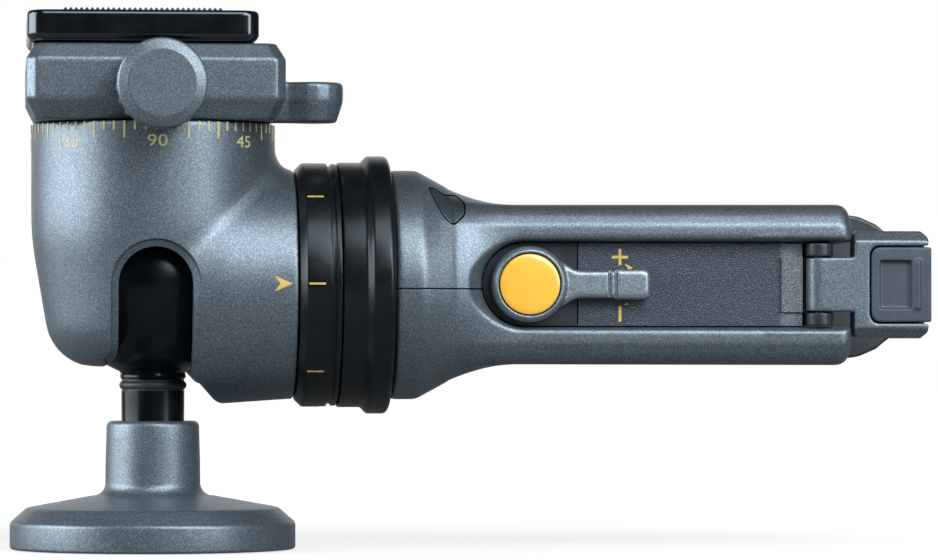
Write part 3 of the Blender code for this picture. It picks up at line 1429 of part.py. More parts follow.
def make_front_jaw():
    jaw = clamp_block("front_jaw")
    far = 60.0
    keep(jaw, box("jaw_blank", (-far, -far, 0), (far, -JAW_BACK_Y - GAP, far * 3), cutter=True))
    slot = extruded("jaw_dovetail", dovetail_outline(GAP), -far, far, plane="YZ", cutter=True)
    hole = cylinder("jaw_screw_hole", SCREW_R + GAP, (SCREW_SIDE, -far, SCREW_Z), (SCREW_SIDE, 0, SCREW_Z),
                    cutter=True)
    tools = [slot, hole]
    for side in (-1, 1):
        x = side * PIN_X
        tools.append(cylinder("jaw_pin_hole", PIN_R + GAP, (x, -JAW_BACK_Y - GAP - PIN_IN_JAW - GAP, SCREW_Z),
                              (x, 0, SCREW_Z), steps=12, cutter=True))
    cut(jaw, *tools)
    part(jaw, "body_paint")
    for i, side in enumerate((-1, 1)):
        pin = cylinder("jaw_guide_pin_%d" % (i + 1), PIN_R,
                       (side * PIN_X, -JAW_BACK_Y - GAP - PIN_IN_JAW, SCREW_Z),
                       (side * PIN_X, -JAW_BACK_Y + PIN_IN, SCREW_Z), steps=12)
        part(pin, "steel")


def knurled_outline(radius, depth, count):
    points = []
    for i in range(count):
        for share, r in ((0.0, radius), (0.45, radius), (0.55, radius - depth), (0.9, radius - depth)):
            turn = 2 * math.pi * (i + share) / count
            points.append((r * math.cos(turn), r * math.sin(turn)))
    return points


def make_knob():
    face = KNOB_FACE_Y
    shoulder = face - KNOB_FRONT_H
    points = [
        (0, face),
        (KNOB_FLAT_R, face),
        (KNOB_R - 0.4, face - KNOB_CONE),
        (KNOB_R, face - KNOB_CONE - 0.3),
        (KNOB_R, shoulder),
        (SCREW_R, shoulder),
        (SCREW_R, face - SCREW_IN),
        (0, face - SCREW_IN),
    ]
    knob = turned("clamp_knob", points, at=(SCREW_SIDE, 0, SCREW_Z), axis="-Y", steps=MID_STEPS)
    back = -KNOB_BACK_Y
    outline = [(SCREW_SIDE + x, SCREW_Z + z)
               for x, z in knurled_outline(KNOB_BACK_R, KNOB_KNURL_DEPTH, KNOB_KNURLS)]
    grip = extruded("knob_knurl", outline, -shoulder - 0.4, back, plane="XZ", cutter=True)
    collar = cylinder("knob_collar", KNOB_COLLAR_R, (SCREW_SIDE, back - 1, SCREW_Z),
                      (SCREW_SIDE, -CLAMP_HALF_Y - TURN_GAP, SCREW_Z), cutter=True)
    join(knob, grip, collar)
    part(knob, "body_paint")


# Quick release plate

def make_plate():
    half_x = PLATE_LENGTH / 2
    corner = PLATE_CORNER
    outline = []
    for sx, sy, start in ((1, -1, -90), (1, 1, 0), (-1, 1, 90), (-1, -1, 180)):
        centre = (PLATE_SHIFT + sx * (half_x - corner), sy * (PLATE_HALF_Y - corner))
        outline += arc(centre, corner, start, start + 90, 4)
    sections = []
    edge = PLATE_EDGE
    low, high = PLATE_SIDE_Z + edge, PLATE_TOP_Z - edge
    levels = ((PLATE_SIDE_Z, edge), (low, 0.0), (high, 0.0), (PLATE_TOP_Z, edge))
    for z, inset in levels:
        scale_x, scale_y = 1 - inset / half_x, 1 - inset / PLATE_HALF_Y
        sections.append([(PLATE_SHIFT + (x - PLATE_SHIFT) * scale_x, y * scale_y, z) for x, y in outline])
    plate = lofted("quick_release_plate", sections)
    low_x, high_x = PLATE_SHIFT - half_x + 1.0, PLATE_SHIFT + half_x - 1.0
    join(plate, extruded("dovetail", dovetail_outline(0.0), low_x, high_x, plane="YZ", cutter=True))
    recess_floor = PLATE_TOP_Z - PAD_BASE_H
    head_top = DOVE_Z + CAMERA_HEAD_SINK + CAMERA_HEAD_H
    tools = [
        box("pad_recess", (PLATE_SHIFT - PAD_RECESS_X, -PAD_RECESS_Y, recess_floor),
            (PLATE_SHIFT + PAD_RECESS_X, PAD_RECESS_Y, PLATE_TOP_Z + 5), cutter=True),
        cylinder("camera_screw_hole", CAMERA_SCREW_R + GAP, (PLATE_SHIFT, 0, DOVE_Z - 5),
                 (PLATE_SHIFT, 0, PLATE_TOP_Z + 5), cutter=True),
        cylinder("camera_head_room", CAMERA_HEAD_R + GAP, (PLATE_SHIFT, 0, DOVE_Z - 5),
                 (PLATE_SHIFT, 0, head_top + GAP), steps=MID_STEPS, cutter=True),
    ]
    for i, side in enumerate((-1, 1)):
        x = PLATE_SHIFT + side * STOP_SCREW_X
        tools.append(cylinder("stop_screw_hole", STOP_SCREW_R + GAP, (x, 0, DOVE_Z - 5),
                              (x, 0, DOVE_Z + STOP_SCREW_H + GAP), steps=12, cutter=True))
        part(cylinder("stop_screw_%d" % (i + 1), STOP_SCREW_R, (x, 0, DOVE_Z - GAP / 3),
                      (x, 0, DOVE_Z + STOP_SCREW_H), steps=12), "steel")
    cut(plate, *tools)
    part(plate, "plate_black")

    points = [
        (0, PLATE_TOP_Z + CAMERA_SCREW_UP),
        (CAMERA_SCREW_R - 0.4, PLATE_TOP_Z + CAMERA_SCREW_UP),
        (CAMERA_SCREW_R, PLATE_TOP_Z + CAMERA_SCREW_UP - 0.4),
        (CAMERA_SCREW_R, head_top),
        (CAMERA_HEAD_R, head_top),
        (CAMERA_HEAD_R, head_top - CAMERA_HEAD_H),
        (0, head_top - CAMERA_HEAD_H),
    ]
    screw = turned("camera_screw", points, at=(PLATE_SHIFT, 0, 0), steps=MID_STEPS)
    head_low = head_top - CAMERA_HEAD_H
    slot_reach, slot_half = 2 * CAMERA_HEAD_R, CAMERA_SLOT_W / 2
    cut(screw, box("coin_slot", (PLATE_SHIFT - slot_reach, -slot_half, head_low - 2),
                   (PLATE_SHIFT + slot_reach, slot_half, head_low + CAMERA_SLOT_H), cutter=True))
    part(screw, "steel")

    pad_x, pad_y = PAD_RECESS_X - GAP, PAD_RECESS_Y - GAP
    pad = box("plate_pad", (PLATE_SHIFT - pad_x, -pad_y, recess_floor + GAP),
              (PLATE_SHIFT + pad_x, pad_y, PLATE_TOP_Z + 0.05))
    pitch = 2 * pad_x / PAD_RIDGES
    for i in range(PAD_RIDGES):
        x = PLATE_SHIFT - pad_x + (i + 0.5) * pitch
        join(pad, box("pad_rib", (x - PAD_RIDGE_WIDE / 2, -pad_y + 0.4, PLATE_TOP_Z - 0.2),
                      (x + PAD_RIDGE_WIDE / 2, pad_y - 0.4, PLATE_TOP_Z + PAD_RIDGE_H), cutter=True))
    cut(pad, cylinder("pad_hole", CAMERA_SCREW_R + 2.0, (PLATE_SHIFT, 0, PLATE_TOP_Z - 5),
                      (PLATE_SHIFT, 0, PLATE_TOP_Z + 5), steps=MID_STEPS, cutter=True))
    part(pad, "black_rubber")


def make_joint_axes():
    ball = (0, 0, BALL_Z)
    joint_axis("swivel_axis", ball)
    joint_axis("tilt_axis", ball, "swivel_axis", (-TILT_BACK, TILT_FRONT))
    joint_axis("lean_axis", ball, "tilt_axis", (-LEAN_LEFT, LEAN_RIGHT))
    joint_axis("brake_axis", (SHOE_X, 0, BALL_Z), "lean_axis", (0.0, BRAKE_TRAVEL))
    joint_axis("grip_axis", (RING_X, 0, BALL_Z), "lean_axis")
    joint_axis("collar_axis", (COLLAR_X, 0, BALL_Z), "grip_axis", (0.0, COLLAR_TRAVEL))
    joint_axis("trigger_axis", (TRIGGER_X, TRIGGER_Y, BALL_Z), "grip_axis", (0.0, TRIGGER_TRAVEL))
    joint_axis("dial_axis", (DIAL_X, -PLATE_FRONT, BALL_Z), "grip_axis", (-DIAL_SWING, DIAL_SWING))
    joint_axis("arm_axis", (HINGE_X, HINGE_Y, BALL_Z), "grip_axis", (0.0, ARM_SWING))
    joint_axis("pad_axis", (PAD_START_X, -ARM_FRONT, BALL_Z), "arm_axis", (0.0, PAD_TRAVEL))
    joint_axis("pan_axis", (0, 0, CLAMP_Z), "lean_axis")
    joint_axis("jaw_axis", (0, -JAW_BACK_Y, SCREW_Z), "pan_axis", (0.0, JAW_TRAVEL))
    turns = JAW_TRAVEL / SCREW_PITCH
    joint_axis("knob_axis", (SCREW_SIDE, -KNOB_FACE_Y, SCREW_Z), "jaw_axis", (0.0, 360 * turns))
    joint_axis("plate_axis", (PLATE_SHIFT, 0, DOVE_Z), "pan_axis", (-PLATE_SLIDE, PLATE_SLIDE))
    joint_axis("screw_axis", (PLATE_SHIFT, 0, PLATE_TOP_Z), "plate_axis")


def hang_parts():
    carry("swivel_axis", "stem_ring")
    carry("tilt_axis", "ball_seat_liner")
    carry("lean_axis", "head_housing", "pan_click_ring", "pan_bolt", "handle_spindle", "spindle_nut",
          "clamp_spring")
    carry("brake_axis", "brake_shoe", "brake_rod")
    carry("grip_axis", "index_ring", "grip_neck", "upper_shell", "lower_shell", "shell_screw_1",
          "shell_screw_2", "pivot_cover", "dial_plate", "grip_panel", "trigger_pin", "hinge_block",
          "hinge_pin")
    carry("collar_axis", "lock_collar")
    carry("trigger_axis", "trigger_lever", "trigger_rubber")
    carry("dial_axis", "friction_dial", "dial_disc")
    carry("arm_axis", "release_arm")
    carry("pad_axis", "release_pad")
    carry("pan_axis", "clamp_body", "level_vial")
    carry("jaw_axis", "front_jaw", "jaw_guide_pin_1", "jaw_guide_pin_2")
    carry("knob_axis", "clamp_knob")
    carry("plate_axis", "quick_release_plate", "plate_pad", "stop_screw_1", "stop_screw_2")
    carry("screw_axis", "camera_screw")


def main():
    clear_scene()
    make_base()
    make_ball()
    make_stem_ring()
    make_liner()
    make_housing()
    make_pan_parts()
    make_spindle()
    make_brake()
    make_spring()
    make_rings()
    make_shells()
    make_shell_screws()
    make_channel_pieces()
    make_dial()
    make_trigger()
    make_hinge_block()
    make_release_arm()
    make_clamp()
    make_front_jaw()
    make_knob()
    make_plate()
    make_joint_axes()
    hang_parts()


main()
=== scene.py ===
"""Looks for the squeeze grip ball head: materials, finer pieces, prints, camera, light and floor."""
import math

import bmesh
import bpy
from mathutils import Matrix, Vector
from mathutils.bvhtree import BVHTree


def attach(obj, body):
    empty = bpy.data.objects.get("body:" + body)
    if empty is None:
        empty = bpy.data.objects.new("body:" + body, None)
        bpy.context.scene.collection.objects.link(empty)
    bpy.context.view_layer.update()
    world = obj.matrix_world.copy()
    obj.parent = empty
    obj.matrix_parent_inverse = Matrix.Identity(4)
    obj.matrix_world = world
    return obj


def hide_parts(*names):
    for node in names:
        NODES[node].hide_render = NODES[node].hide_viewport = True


MM = 0.001
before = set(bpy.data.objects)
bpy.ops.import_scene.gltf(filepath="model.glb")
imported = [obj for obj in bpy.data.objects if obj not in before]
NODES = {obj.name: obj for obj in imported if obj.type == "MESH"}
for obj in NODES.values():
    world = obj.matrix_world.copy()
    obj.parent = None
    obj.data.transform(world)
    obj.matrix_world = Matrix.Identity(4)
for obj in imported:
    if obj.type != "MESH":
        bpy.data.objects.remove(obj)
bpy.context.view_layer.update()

# Driving sizes in millimetres, from the part's origin
BALL_Z, BALL_R = 57.0, 20.0
CENTRE = (0, 0, BALL_Z)
HOUSING_R, HOUSING_TOP = 26.3, 91.5
BOSS_R, BOSS_TAPER, BOSS_FROM = 25.7, 0.0655, 14.5
RING_R = 26.35
BORE_R, BOLT_R = 13.3, 3.3
PANEL_FRONT = 13.5
DIAL_X = 80.1
KNOB_X, KNOB_Z = 0.8, 98.8
PLATE_X = -2.7

# The floor's height in metres and its grey, and how bright it looks to the camera by the object
FLOOR_Z = -0.0002
FLOOR_TONE = 0.25
FLOOR_GLOW = 0.72
# The world's strength, and the Y of the directions in which the white backdrop starts and is full
ROOM_LIGHT = 0.05
BACKDROP_FROM, BACKDROP_FULL = 0.80, 0.88


# Node helpers

def empty_tree(owner):
    """The cleared node tree of a material or a world."""
    owner.use_nodes = True
    owner.node_tree.nodes.clear()
    return owner.node_tree


def new_material(name):
    mat = bpy.data.materials.new(name)
    tree = empty_tree(mat)
    out = tree.nodes.new("ShaderNodeOutputMaterial")
    shader = tree.nodes.new("ShaderNodeBsdfPrincipled")
    tree.links.new(shader.outputs[0], out.inputs[0])
    return mat, tree, shader


def add(tree, kind, **values):
    node = tree.nodes.new(kind)
    for key, value in values.items():
        if key.startswith("in_"):
            name = key[3:].replace("_", " ")
            node.inputs[name].default_value = value
        else:
            setattr(node, key, value)
    return node


def coords(tree):
    return add(tree, "ShaderNodeTexCoord").outputs["Object"]


def noise(tree, size_mm, detail=2.0, rough=0.5):
    """Noise whose blobs are about size_mm across."""
    scale = 1.0 / (size_mm * MM)
    node = add(tree, "ShaderNodeTexNoise", in_Scale=scale, in_Detail=detail, in_Roughness=rough)
    tree.links.new(coords(tree), node.inputs["Vector"])
    return node.outputs["Fac"]


def voronoi(tree, size_mm, feature="F1", vector=None):
    node = add(tree, "ShaderNodeTexVoronoi", feature=feature)
    node.inputs["Scale"].default_value = 1.0 / (size_mm * MM)
    tree.links.new(vector or coords(tree), node.inputs["Vector"])
    return node.outputs["Distance"]


def ramp(tree, source, stops):
    node = add(tree, "ShaderNodeValToRGB")
    elements = node.color_ramp.elements
    while len(elements) < len(stops):
        elements.new(0.5)
    for element, (position, colour) in zip(elements, stops):
        element.position = position
        element.color = (*colour, 1.0)
    tree.links.new(source, node.inputs["Fac"])
    return node.outputs["Color"]


def math_node(tree, operation, a, b):
    node = add(tree, "ShaderNodeMath", operation=operation)
    for i, value in enumerate((a, b)):
        if isinstance(value, (int, float)):
            node.inputs[i].default_value = value
        else:
            tree.links.new(value, node.inputs[i])
    return node.outputs[0]


def mix_colour(tree, factor, a, b, blend="MIX"):
    node = add(tree, "ShaderNodeMix", data_type="RGBA", blend_type=blend)
    for socket, value in ((node.inputs[0], factor), (node.inputs[6], a), (node.inputs[7], b)):
        if isinstance(value, (int, float)):
            socket.default_value = value
        elif isinstance(value, tuple):
            socket.default_value = (*value, 1.0)
        else:
            tree.links.new(value, socket)
    return node.outputs[2]


def map_range(tree, source, low, high, to_low, to_high):
    node = add(tree, "ShaderNodeMapRange")
    for i, value in enumerate((low, high, to_low, to_high)):
        node.inputs[i + 1].default_value = value
    tree.links.new(source, node.inputs[0])
    return node.outputs[0]


def bump(tree, shader, height, distance_mm, strength):
    node = add(tree, "ShaderNodeBump")
    node.inputs["Strength"].default_value = strength
    node.inputs["Distance"].default_value = distance_mm * MM
    tree.links.new(height, node.inputs["Height"])
    tree.links.new(node.outputs[0], shader.inputs["Normal"])


# Materials

def paint_material(name, dark, middle, light):
    """Speckled metallic paint on a cast surface."""
    mat, tree, shader = new_material(name)
    fine = noise(tree, 0.22, detail=3.0, rough=0.7)
    grain = voronoi(tree, 0.30)
    cloud = noise(tree, 14.0, detail=3.0, rough=0.6)
    mixed = math_node(tree, "ADD", math_node(tree, "MULTIPLY", fine, 0.75),
                      math_node(tree, "MULTIPLY", grain, 0.25))
    base = ramp(tree, mixed, [(0.30, dark), (0.47, middle), (0.68, light)])
    shade = map_range(tree, cloud, 0.3, 0.7, 0.93, 1.05)
    toned = mix_colour(tree, 1.0, base, shade, "MULTIPLY")
    tree.links.new(toned, shader.inputs["Base Color"])
    tree.links.new(map_range(tree, fine, 0.3, 0.7, 0.36, 0.50), shader.inputs["Roughness"])
    shader.inputs["Metallic"].default_value = 0.75
    bump(tree, shader, mixed, 0.035, 0.55)
    return mat


def anodised_material(name, colour, rough_low, rough_high, specular, turned_axis=None):
    """Black anodised metal, with fine turning lines where it was turned."""
    mat, tree, shader = new_material(name)
    wear = noise(tree, 6.0, detail=4.0, rough=0.6)
    fine = noise(tree, 0.15, detail=2.0)
    light = tuple(c * 1.6 + 0.002 for c in colour)
    tree.links.new(mix_colour(tree, map_range(tree, wear, 0.35, 0.75, 0.0, 1.0), colour, light),
                   shader.inputs["Base Color"])
    tree.links.new(map_range(tree, wear, 0.3, 0.7, rough_low, rough_high), shader.inputs["Roughness"])
    shader.inputs["Specular IOR Level"].default_value = specular
    shader.inputs["Specular Tint"].default_value = (0.80, 0.91, 1.0, 1.0)
    height = fine
    if turned_axis is not None:
        stretch = add(tree, "ShaderNodeMapping")
        along, across = 3.0, 9000.0
        scale = [along] * 3
        scale[turned_axis] = across
        stretch.inputs["Scale"].default_value = scale
        tree.links.new(coords(tree), stretch.inputs["Vector"])
        lines = add(tree, "ShaderNodeTexNoise", in_Scale=1.0, in_Detail=2.0)
        tree.links.new(stretch.outputs[0], lines.inputs["Vector"])
        height = math_node(tree, "ADD", math_node(tree, "MULTIPLY", fine, 0.3), lines.outputs["Fac"])
    bump(tree, shader, height, 0.004, 0.5)
    return mat


def rubber_material(name, colour, roughness):
    """Matt moulded rubber with a fine grain and a little dust."""
    mat, tree, shader = new_material(name)
    grain = noise(tree, 0.25, detail=4.0, rough=0.65)
    dust = noise(tree, 5.0, detail=4.0, rough=0.6)
    light = tuple(c * 1.5 + 0.006 for c in colour)
    tree.links.new(mix_colour(tree, map_range(tree, dust, 0.4, 0.75, 0.0, 0.8), colour, light),
                   shader.inputs["Base Color"])
    tree.links.new(map_range(tree, grain, 0.3, 0.7, roughness - 0.08, roughness + 0.08),
                   shader.inputs["Roughness"])
    bump(tree, shader, grain, 0.02, 0.8)
    return mat


def leather_grain_material(name, colour, cell_mm, lit_strip_colour, lit_strip_from_mm):
    """Moulded leather grain: pebbles with creases between them that are painted darker as shade, and a
    painted lighter tone at the panel's far end for the light its turned strip catches.
    """
    mat, tree, shader = new_material(name)
    bend_scale, bend, lit_strip_over_mm = 900.0, 0.5 * MM, 0.8
    warp = add(tree, "ShaderNodeVectorMath", operation="MULTIPLY_ADD")
    bent = add(tree, "ShaderNodeTexNoise", in_Scale=bend_scale, in_Detail=1.0)
    tree.links.new(coords(tree), bent.inputs["Vector"])
    tree.links.new(bent.outputs["Color"], warp.inputs[0])
    warp.inputs[1].default_value = (bend, bend, bend)
    tree.links.new(coords(tree), warp.inputs[2])
    cells = voronoi(tree, cell_mm, "DISTANCE_TO_EDGE", warp.outputs[0])
    pebbles = ramp(tree, cells, [(0.0, (0, 0, 0)), (0.22, (0.75, 0.75, 0.75)), (0.5, (1, 1, 1))])
    fine = noise(tree, 0.16, detail=2.0)
    height = math_node(tree, "ADD", math_node(tree, "MULTIPLY", fine, 0.25), pebbles)
    split = add(tree, "ShaderNodeSeparateXYZ")
    tree.links.new(coords(tree), split.inputs[0])
    # Painted light: the panel's far end is mixed to a lighter tone, standing in for the light the turned
    # strip catches.
    lit_strip_mask = map_range(tree, split.outputs["X"], lit_strip_from_mm * MM,
                       (lit_strip_from_mm + lit_strip_over_mm) * MM, 0.0, 1.0)
    toned = mix_colour(tree, lit_strip_mask, colour, lit_strip_colour)
    # Painted shade: the creases between the pebbles are darkened in colour.
    crease_shade = map_range(tree, pebbles, 0.0, 1.0, 0.3, 1.0)
    tree.links.new(mix_colour(tree, 1.0, toned, crease_shade, "MULTIPLY"), shader.inputs["Base Color"])
    tree.links.new(map_range(tree, fine, 0.3, 0.7, 0.36, 0.54), shader.inputs["Roughness"])
    bump(tree, shader, height, 0.11, 1.0)
    return mat


def plain_detail_material(name, colour, roughness, metallic=0.0, **sockets):
    """A smooth finish with slight unevenness in tone, gloss and surface."""
    mat, tree, shader = new_material(name)
    fine = noise(tree, 0.2, detail=3.0)
    cloud = noise(tree, 4.0, detail=3.0)
    dark = tuple(c * 0.90 for c in colour)
    tree.links.new(mix_colour(tree, cloud, dark, colour), shader.inputs["Base Color"])
    tree.links.new(map_range(tree, cloud, 0.3, 0.7, max(roughness - 0.06, 0.02), roughness + 0.06),
                   shader.inputs["Roughness"])
    shader.inputs["Metallic"].default_value = metallic
    for key, value in sockets.items():
        shader.inputs[key.replace("_", " ")].default_value = value
    bump(tree, shader, fine, 0.004, 0.4)
    return mat


BODY = paint_material("body_paint", (0.038, 0.050, 0.060), (0.112, 0.141, 0.166), (0.242, 0.294, 0.338))
# Painted light: a lighter copy of the body paint, so the dial looks more lit from the front.
LIT_DIAL_PAINT = paint_material("painted_light_dial", (0.065, 0.082, 0.094), (0.185, 0.225, 0.252), (0.36, 0.42, 0.46))
# Painted shade: a darker copy of the body paint for the sunk pivot cover, standing in for the shade on it.
SHADED_BODY_PAINT = paint_material("painted_shade_cover", (0.022, 0.031, 0.038), (0.055, 0.074, 0.088), (0.12, 0.155, 0.18))
BLACK = anodised_material("black_anodised", (0.003, 0.004, 0.005), 0.25, 0.35, 0.30, turned_axis=0)
BALL = anodised_material("ball_black", (0.001, 0.0015, 0.002), 0.20, 0.28, 0.24, turned_axis=2)
PLATE = anodised_material("plate_black", (0.001, 0.0015, 0.002), 0.17, 0.23, 0.75)
SMOOTH_BLACK = plain_detail_material("moulded_black", (0.015, 0.021, 0.030), 0.36)
RUBBER = rubber_material("ribbed_rubber", (0.012, 0.018, 0.027), 0.50)
PAD_RUBBER = rubber_material("pad_rubber", (0.034, 0.048, 0.064), 0.50)
# The last two arguments are the painted lighter tone at the panel's far end and where it starts.
GRAIN = leather_grain_material("leather_grain", (0.062, 0.082, 0.114), 0.50, (0.19, 0.225, 0.26), 134.6)
YELLOW = plain_detail_material("signal_yellow", (0.93, 0.49, 0.05), 0.30, Coat_Weight=0.4,
                               Coat_Roughness=0.12)
GOLD = plain_detail_material("gold_print", (0.66, 0.45, 0.12), 0.45, metallic=0.2)
WORN_GOLD = plain_detail_material("worn_gold_print", (0.50, 0.44, 0.20), 0.50)
STEEL = plain_detail_material("bright_steel", (0.55, 0.55, 0.56), 0.28, metallic=1.0)
BRASS = plain_detail_material("brass", (0.60, 0.44, 0.18), 0.30, metallic=1.0)
LINER = plain_detail_material("liner_plastic", (0.75, 0.74, 0.70), 0.42)
LEVEL = plain_detail_material("level_green", (0.42, 0.66, 0.08), 0.08, Transmission_Weight=0.35, IOR=1.45)

LOOKS = {
    BODY: ("base_plate", "head_housing", "upper_shell", "lower_shell", "release_arm", "clamp_body",
           "front_jaw", "clamp_knob"),
    LIT_DIAL_PAINT: ("friction_dial",),
    SHADED_BODY_PAINT: ("pivot_cover",),
    BLACK: ("index_ring", "grip_neck", "lock_collar", "hinge_pin"),
    BALL: ("ball_and_stem",),
    PLATE: ("quick_release_plate",),
    SMOOTH_BLACK: ("dial_plate", "hinge_block", "trigger_lever"),
    RUBBER: ("stem_ring", "trigger_rubber", "plate_pad"),
    GRAIN: ("grip_panel",),
    PAD_RUBBER: ("release_pad",),
    YELLOW: ("dial_disc",),
    STEEL: ("tripod_bush", "base_bolt", "pan_click_ring", "pan_bolt", "handle_spindle", "spindle_nut",
            "clamp_spring", "brake_rod", "shell_screw_1", "shell_screw_2", "trigger_pin",
            "jaw_guide_pin_1", "jaw_guide_pin_2", "stop_screw_1", "stop_screw_2", "camera_screw"),
    BRASS: ("brake_shoe",),
    LINER: ("ball_seat_liner",),
    LEVEL: ("level_vial",),
}


def dress_nodes():
    for mat, names in LOOKS.items():
        for name in names:
            mesh = NODES[name].data
            if not mesh.materials:
                mesh.materials.append(mat)
            for i in range(len(mesh.materials)):
                mesh.materials[i] = mat


# Shape helpers: sizes are in millimetres, and turn into metres where a mesh is made

def linked(name, data):
    """A new object in the scene."""
    obj = bpy.data.objects.new(name, data)
    bpy.context.scene.collection.objects.link(obj)
    return obj


def linked_object(name, bm):
    """A new object in the scene with the faces of a bmesh, which it frees."""
    mesh = bpy.data.meshes.new(name)
    bm.to_mesh(mesh)
    bm.free()
    return linked(name, mesh)


def arc(x, y, radius, start, end, steps):
    """Points on a circle's arc, with its angles in degrees."""
    points = []
    for i in range(steps + 1):
        turn = math.radians(start + (end - start) * i / steps)
        points.append((x + radius * math.cos(turn), y + radius * math.sin(turn)))
    return points


def rounded(points, radii, steps=5):
    """A closed outline with each corner rounded by its own radius."""
    result = []
    count = len(points)
    for i, (point, radius) in enumerate(zip(points, radii)):
        here = Vector(point)
        before = Vector(points[i - 1]) - here
        after = Vector(points[(i + 1) % count]) - here
        if radius <= 0 or before.length < 1e-6 or after.length < 1e-6:
            result.append(tuple(here))
            continue
        half = before.angle(after) / 2
        reach = min(radius / math.tan(half), 0.49 * before.length, 0.49 * after.length)
        a = here + before.normalized() * reach
        b = here + after.normalized() * reach
        for k in range(steps + 1):
            t = k / steps
            result.append(tuple(a * (1 - t) ** 2 + here * 2 * t * (1 - t) + b * t ** 2))
    return result


def raw_object(name, verts, faces):
    """A closed mesh object, in millimetres turned into metres, with its faces turned outwards."""
    bm = bmesh.new()
    made = [bm.verts.new([c * MM for c in v]) for v in verts]
    for face in faces:
        if len(set(face)) > 2:
            bm.faces.new([made[i] for i in dict.fromkeys(face)])
    bmesh.ops.remove_doubles(bm, verts=bm.verts, dist=1e-7)
    bmesh.ops.recalc_face_normals(bm, faces=bm.faces)
    return linked_object(name, bm)


AXES = {
    "Z": lambda r, h, c, s: (r * c, r * s, h),
    "X": lambda r, h, c, s: (h, r * c, r * s),
    "-Y": lambda r, h, c, s: (r * c, -h, r * s),
}


def revolve(name, profile, at=(0, 0, 0), axis="Z", steps=128, closed=True):
    """A closed profile of (radius, height) turned about an axis through a point."""
    verts, faces = [], []
    count = len(profile)
    for i in range(steps):
        turn = 2 * math.pi * i / steps
        for r, h in profile:
            x, y, z = AXES[axis](r, h, math.cos(turn), math.sin(turn))
            verts.append((x + at[0], y + at[1], z + at[2]))
    for i in range(steps):
        a, b = i * count, ((i + 1) % steps) * count
        for k in range(count if closed else count - 1):
            n = (k + 1) % count
            faces.append([a + k, a + n, b + n, b + k])
    return raw_object(name, verts, faces)


def loft(name, sections):
    """A closed skin over outlines that all have the same number of points."""
    count = len(sections[0])
    verts = [p for section in sections for p in section]
    faces = [list(range(count))[::-1], [len(verts) - count + i for i in range(count)]]
    for j in range(len(sections) - 1):
        for i in range(count):
            k = (i + 1) % count
            a, b = j * count, (j + 1) * count
            faces.append([a + i, a + k, b + k, b + i])
    return raw_object(name, verts, faces)


PLANES = {
    "XY": lambda a, b, c: (a, b, c),
    "XZ": lambda a, b, c: (a, c, b),
    "YZ": lambda a, b, c: (c, a, b),
}


def prism(name, outline, low, high, plane="XY"):
    """An outline in one plane, drawn out along the third axis."""
    return loft(name, [[PLANES[plane](a, b, c) for a, b in outline] for c in (low, high)])


def block(name, low, high):
    outline = [(low[0], low[1]), (high[0], low[1]), (high[0], high[1]), (low[0], high[1])]
    return prism(name, outline, low[2], high[2])


def applied(obj):
    """The object with its modifiers made real."""
    bpy.context.view_layer.update()
    graph = bpy.context.evaluated_depsgraph_get()
    mesh = bpy.data.meshes.new_from_object(obj.evaluated_get(graph))
    obj.modifiers.clear()
    obj.data = mesh
    return obj


def combine(obj, tools, operation="DIFFERENCE"):
    """The object cut by the tools, or joined or met with them. The tools are used up."""
    for tool in tools:
        mod = obj.modifiers.new(tool.name, "BOOLEAN")
        mod.operation = operation
        mod.solver = "EXACT"
        mod.object = tool
    applied(obj)
    for tool in tools:
        bpy.data.objects.remove(tool, do_unlink=True)
    return obj


def merged(obj, others):
    """One mesh from several overlapping ones. A remesh afterwards makes it one skin."""
    bm = bmesh.new()
    bm.from_mesh(obj.data)
    for other in others:
        bm.from_mesh(other.data)
        bpy.data.objects.remove(other, do_unlink=True)
    bm.to_mesh(obj.data)
    bm.free()
    return obj


def softened(obj, voxel, times):
    """A new even skin over the object with its edges rounded."""
    mod = obj.modifiers.new("skin", "REMESH")
    mod.mode = "VOXEL"
    mod.voxel_size = voxel * MM
    mod.use_smooth_shade = True
    even = obj.modifiers.new("even", "SMOOTH")
    even.factor = 0.5
    even.iterations = times
    return applied(obj)


def copy_of(node, name):
    """A welded copy of a CAD node's mesh, to be worked into a finer piece."""
    bm = bmesh.new()
    bm.from_mesh(NODES[node].data)
    bmesh.ops.remove_doubles(bm, verts=bm.verts, dist=2e-6)
    return linked_object(name, bm)


def finish_piece(obj, mat, body, slot, *nodes, angle=30):
    """Smooth shading with crisp edges, one material, and its place on a body instead of CAD nodes."""
    mesh = obj.data
    mesh.materials.clear()
    mesh.materials.append(mat)
    mesh.polygons.foreach_set("material_index", [0] * len(mesh.polygons))
    mesh.polygons.foreach_set("use_smooth", [True] * len(mesh.polygons))
    mesh.set_sharp_from_angle(angle=math.radians(angle))
    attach(obj, body)
    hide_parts(*nodes)


def soft_copy(node, name, voxel, times, mat, body, slot):
    """A CAD node's own form with softened edges."""
    finish_piece(softened(copy_of(node, name), voxel, times), mat, body, slot, node, angle=60)


# Base, ball and stem

def base_piece():
    head_r, bush_r, seat_r, rim_r = 5.9, 6.8, 7.1, 30.8
    points = [(BOLT_R, 26.1), (seat_r, 26.1), (seat_r, 27.6)]
    points += arc(8.8, 26.4, 1.2, 90, 0, 6)
    points += [(10.05, 24.0), (10.2, 19.0)] + arc(13.1, 14.3, 2.85, 180, 264, 12)
    points += rounded([(13.4, 11.43), (27.2, 8.9), (rim_r, 5.7), (rim_r, 0.0), (bush_r, 0.0)],
                      [0, 2.2, 1.3, 0.7, 0], 6)
    points += [(bush_r, 10.3), (head_r, 10.3), (head_r, 15.3), (BOLT_R, 15.3)]
    finish_piece(revolve("turned_base", points), BODY, "base", "body_cast", "base_plate", angle=40)


